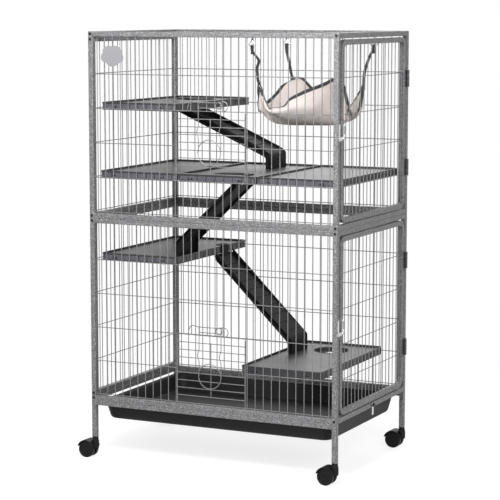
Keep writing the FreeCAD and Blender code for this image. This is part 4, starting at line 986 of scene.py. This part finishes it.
# Where the bound edge hangs, by shares of the cloth's width and length
HOLDS = ((0, 0, (75, -104, 1130)), (1, 0, (333, -102, 1142)), (1, 1, (325, 96, 1131)), (0, 1, (84, 112, 1139)),
         (0.25, 0, (105, -104, 1052)), (0.5, 0, (176, -106, 1086)), (0.72, 0, (248, -105, 1119)),
         (0.92, 0, (307, -104, 1144)), (1, 0.12, (334, -70, 1128)), (1, 0.37, (333, -40, 1048)),
         (1, 0.5, (332, -15, 1022)), (1, 0.73, (330, 48, 1058)), (0, 0.3, (70, -70, 1041)), (0, 0.8, (70, 56, 1110)),
         (0.12, 1, (124, 110, 1138)), (0.25, 1, (155, 108, 1108)))
STRAP_WIDE, STRAP_THICK, BINDING_THICK, CLOTH_THICK = 9, 1.5, 3, 1.2
RING_Z = 1235.5
# Each strap: its ring's place, how far it is turned, and its bends from the cloth's corner up
STRAPS = (((57.5, -106.4), 55,
           ((75, -104, 1131), (74, -105, 1156), (72, -105, 1174), (82, -106, 1194), (64, -106.4, 1212))),
          ((341.5, -106.4), 0, ((333, -102, 1143), (336, -104, 1170), (340, -106, 1205))),
          ((341.5, 133), 40, ((325, 96, 1132), (322, 108, 1160), (332, 124, 1205))),
          ((57.5, 133), 0, ((84, 112, 1140), (76, 118, 1170), (61, 130, 1208))))


def cut_strip(bm, across, along, wide, long):
    """A unit grid with its cut size as its UV map, in metres."""
    bmesh.ops.create_grid(bm, x_segments=across, y_segments=along, size=0.5)
    cut = bm.loops.layers.uv.new("cut")
    for face in bm.faces:
        for loop in face.loops:
            loop[cut].uv = ((loop.vert.co.x + 0.5) * wide, (loop.vert.co.y + 0.5) * long)


def hung_cloth():
    """Bring the cut cloth's held places to where they hang, let the rest sag, and return the mesh it comes to."""
    bm = bmesh.new()
    cut_strip(bm, CLOTH_ACROSS, CLOTH_ALONG, CLOTH_WIDE, CLOTH_LONG)
    bmesh.ops.scale(bm, vec=(CLOTH_WIDE, CLOTH_LONG, 1), verts=bm.verts)
    bmesh.ops.translate(bm, vec=TO_ROW @ Vector(CLOTH_START), verts=bm.verts)
    data = as_mesh(bm, "cut_cloth")
    made = placed("cut_cloth", data)
    scene = bpy.context.scene
    made.shape_key_add(name="flat")
    hanging = made.shape_key_add(name="hanging")
    held = made.vertex_groups.new(name="held")
    for across, along, place in HOLDS:
        index = round(along * CLOTH_ALONG) * (CLOTH_ACROSS + 1) + round(across * CLOTH_ACROSS)
        hanging.data[index].co = TO_ROW @ Vector(place)
        held.add([index], 1, "REPLACE")
    for moment, value in ((1, 0), (HANG_FRAMES, 1)):
        hanging.value = value
        hanging.keyframe_insert("value", frame=moment)
    drape = made.modifiers.new("drape", "CLOTH")
    for key, value in CLOTH_FEEL.items():
        setattr(drape.settings, key, value)
    drape.settings.vertex_group_mass = "held"
    drape.point_cache.frame_end = SAG_FRAMES
    for moment in range(1, SAG_FRAMES + 1):
        scene.frame_set(moment)
    hung = bpy.data.meshes.new_from_object(made.evaluated_get(bpy.context.evaluated_depsgraph_get()))
    scene.frame_set(1)
    data.shape_keys.animation_data_clear()
    bpy.data.objects.remove(made)
    return hung


def soft_piece(name, data, slot, thick, replaced, levels=0):
    """A thin soft piece whose mesh is already in the row's place."""
    data.name = name
    data.materials.clear()
    made = dressed(name, data, "frame", slot, replaced)
    if levels:
        smooth = made.modifiers.new("smooth", "SUBSURF")
        smooth.levels = smooth.render_levels = levels
    skin = made.modifiers.new("thickness", "SOLIDIFY")
    skin.thickness = thick / 1000
    skin.offset = 0
    return made


hung = hung_cloth()
bm = bmesh.new()
bm.from_mesh(hung)
inner = [face for face in bm.faces if not any(line.is_boundary for line in face.edges)]
bmesh.ops.delete(bm, geom=inner, context="FACES")
binding = soft_piece("hammock_binding", as_mesh(bm, "rim"), "webbing", BINDING_THICK, [], 1)
sheet = soft_piece("hammock_sheet", hung, "hammock_cloth", CLOTH_THICK, ["hammock_cloth"], 1)


def strap(bm, bends, turn):
    """A strip of webbing along bends, its width level and turned from X."""
    line = curve_mesh(bends, 6)
    places = [vert.co.copy() for vert in line.vertices]
    bpy.data.meshes.remove(line)
    long = sum((far - near).length for near, far in zip(places, places[1:]))
    part = bmesh.new()
    cut_strip(part, 1, len(places) - 1, STRAP_WIDE / 1000, long / 1000)
    for vert in part.verts:
        place = places[round((vert.co.y + 0.5) * (len(places) - 1))]
        vert.co = place + Matrix.Rotation(math.radians(turn), 3, "Z") @ X * (vert.co.x * STRAP_WIDE)
    merge(bm, part)


# A strap's loop round its ring, and a clip's ring and hook, as places across or out and heights
STRAP_LOOP = ((-2.2, -12), (-2.2, 0), (-1.6, 2.6), (1.6, 2.6), (2.2, 0), (0.4, -24))
CLIP_RING = ((-11, 0), (11, 0), (12, 1.8), (1.6, 15.5), (-1.6, 15.5), (-12, 1.8))
CLIP_NECK = ((0, 0), (2.2, 0), (2.8, 0.8), (2.8, 4), (2, 5.2), (0, 5.2))
CLIP_HOOK = ((0, 4), (0.5, 6.5), (4, 8.5), (4.2, 13), (4, 20.5), (0, 23.4), (-4, 20.5), (-4.2, 14), (-3.8, 10.5))
clips, straps = bmesh.new(), bmesh.new()
SEWN_CELLS = ((2, 2), (CLOTH_ACROSS - 2, 2), (CLOTH_ACROSS - 2, CLOTH_ALONG - 2), (2, CLOTH_ALONG - 2))
for ((x, y), turn, bends), (across, along) in zip(STRAPS, SEWN_CELLS):
    ring = Vector((x, y, RING_Z))
    sewn = TO_ROW.inverted() @ hung.vertices[along * (CLOTH_ACROSS + 1) + across].co
    strap(straps, [sewn] + list(bends) + [ring + Vector((0, out, rise)) for out, rise in STRAP_LOOP], turn)
    bent_wire(clips, [ring + Vector((across, 0, rise)) for across, rise in CLIP_RING], closed=True)
    neck = ring + Z * 15
    spun(clips, CLIP_NECK, neck, Z, X, steps=14, finish=1)
    bent_wire(clips, [neck + Vector((0, out, rise)) for out, rise in CLIP_HOOK], radius=1.2, finish=1)
    rod(clips, neck + Vector((0, -3.8, 11.5)), neck + Vector((0, -0.6, 6.4)), 0.8, 8, finish=1)
moved(straps, TO_ROW)
soft_piece("hammock_webbing", as_mesh(straps, "strip"), "webbing", STRAP_THICK, ["hammock_straps"])
piece("hammock_snap_clips", clips, "frame", "nickel", ["hammock_clips"], "nickel", "clip_steel")

# Stage: a pale floor that turns white far off, a white background, soft lamps
FLOOR_NEAR, FLOOR_FAR = 0.8, 3.0
scene = bpy.context.scene
scene.view_settings.view_transform = "Standard"


def seen_white(add):
    """Whether a ray sees the backdrop itself: straight, mirrored or through glass."""
    sight = add("LightPath").outputs
    straight = calc(add, "MAXIMUM", sight["Is Camera Ray"], sight["Is Glossy Ray"])
    return calc(add, "MAXIMUM", straight, sight["Is Transmission Ray"])


bpy.ops.mesh.primitive_plane_add(size=30, location=(0, 0, 0))
floor = bpy.context.object
floor.name = "studio_floor"
made = bpy.data.materials.new("studio_floor")
add = cleared(made)
pale, dim = [add("BsdfDiffuse", {"Color": (grey, grey, grey, 1)}).outputs[0] for grey in (0.5, 0.4)]
glow, white = [add("Emission", {"Strength": level}).outputs[0] for level in (0.8, 1.0)]
lifted = add("AddShader", {0: dim, 1: glow}).outputs[0]
away = add("VectorMath", {0: add("TexCoord").outputs["Object"]}, operation="LENGTH").outputs["Value"]
far = varied(add, away, 0.0, 1.0, FLOOR_NEAR, FLOOR_FAR)
fading = add("MixShader", {0: far, 1: lifted, 2: white}).outputs[0]
chosen = add("MixShader", {0: seen_white(add), 1: pale, 2: fading}).outputs[0]
add("OutputMaterial", {"Surface": chosen})
floor.data.materials.append(made)

world = bpy.data.worlds.new("studio")
scene.world = world
add = cleared(world)
soft, white = [add("Background", {"Color": (1, 1, 1, 1), "Strength": level}).outputs[0] for level in (0.2, 1.0)]
both = add("MixShader", {0: seen_white(add), 1: soft, 2: white}).outputs[0]
add("OutputWorld", {"Surface": both})


def lamp(name, place, target, size, power):
    data = bpy.data.lights.new(name, "AREA")
    data.size = size
    data.energy = power
    made = placed(name, data)
    made.location = place
    made.rotation_euler = (Vector(target) - Vector(place)).to_track_quat("-Z", "Y").to_euler()


lamp("key_lamp", (2.5, -2.5, 2.0), (0.2, -0.2, 0.85), 1.7, 66)
lamp("top_lamp", (0.3, -1.8, 2.1), (0.1, -0.2, 1.3), 0.9, 54)
lamp("fill_lamp", (-0.6, -4.2, 2.0), (0, 0, 1.0), 2.0, 14)
lamp("back_lamp", (-0.6, 3.4, 2.8), (0, 0, 0.8), 2.4, 40)

camera_data = bpy.data.cameras.new("camera")
camera_data.lens = 136.92
camera_data.sensor_width = 36
camera_data.clip_end = 60
camera = placed("camera", camera_data)
camera.location = (2.4938, -5.1093, 1.3533)
camera.rotation_euler = (math.radians(90 - 7.339), 0, math.radians(25.866))
scene.camera = camera
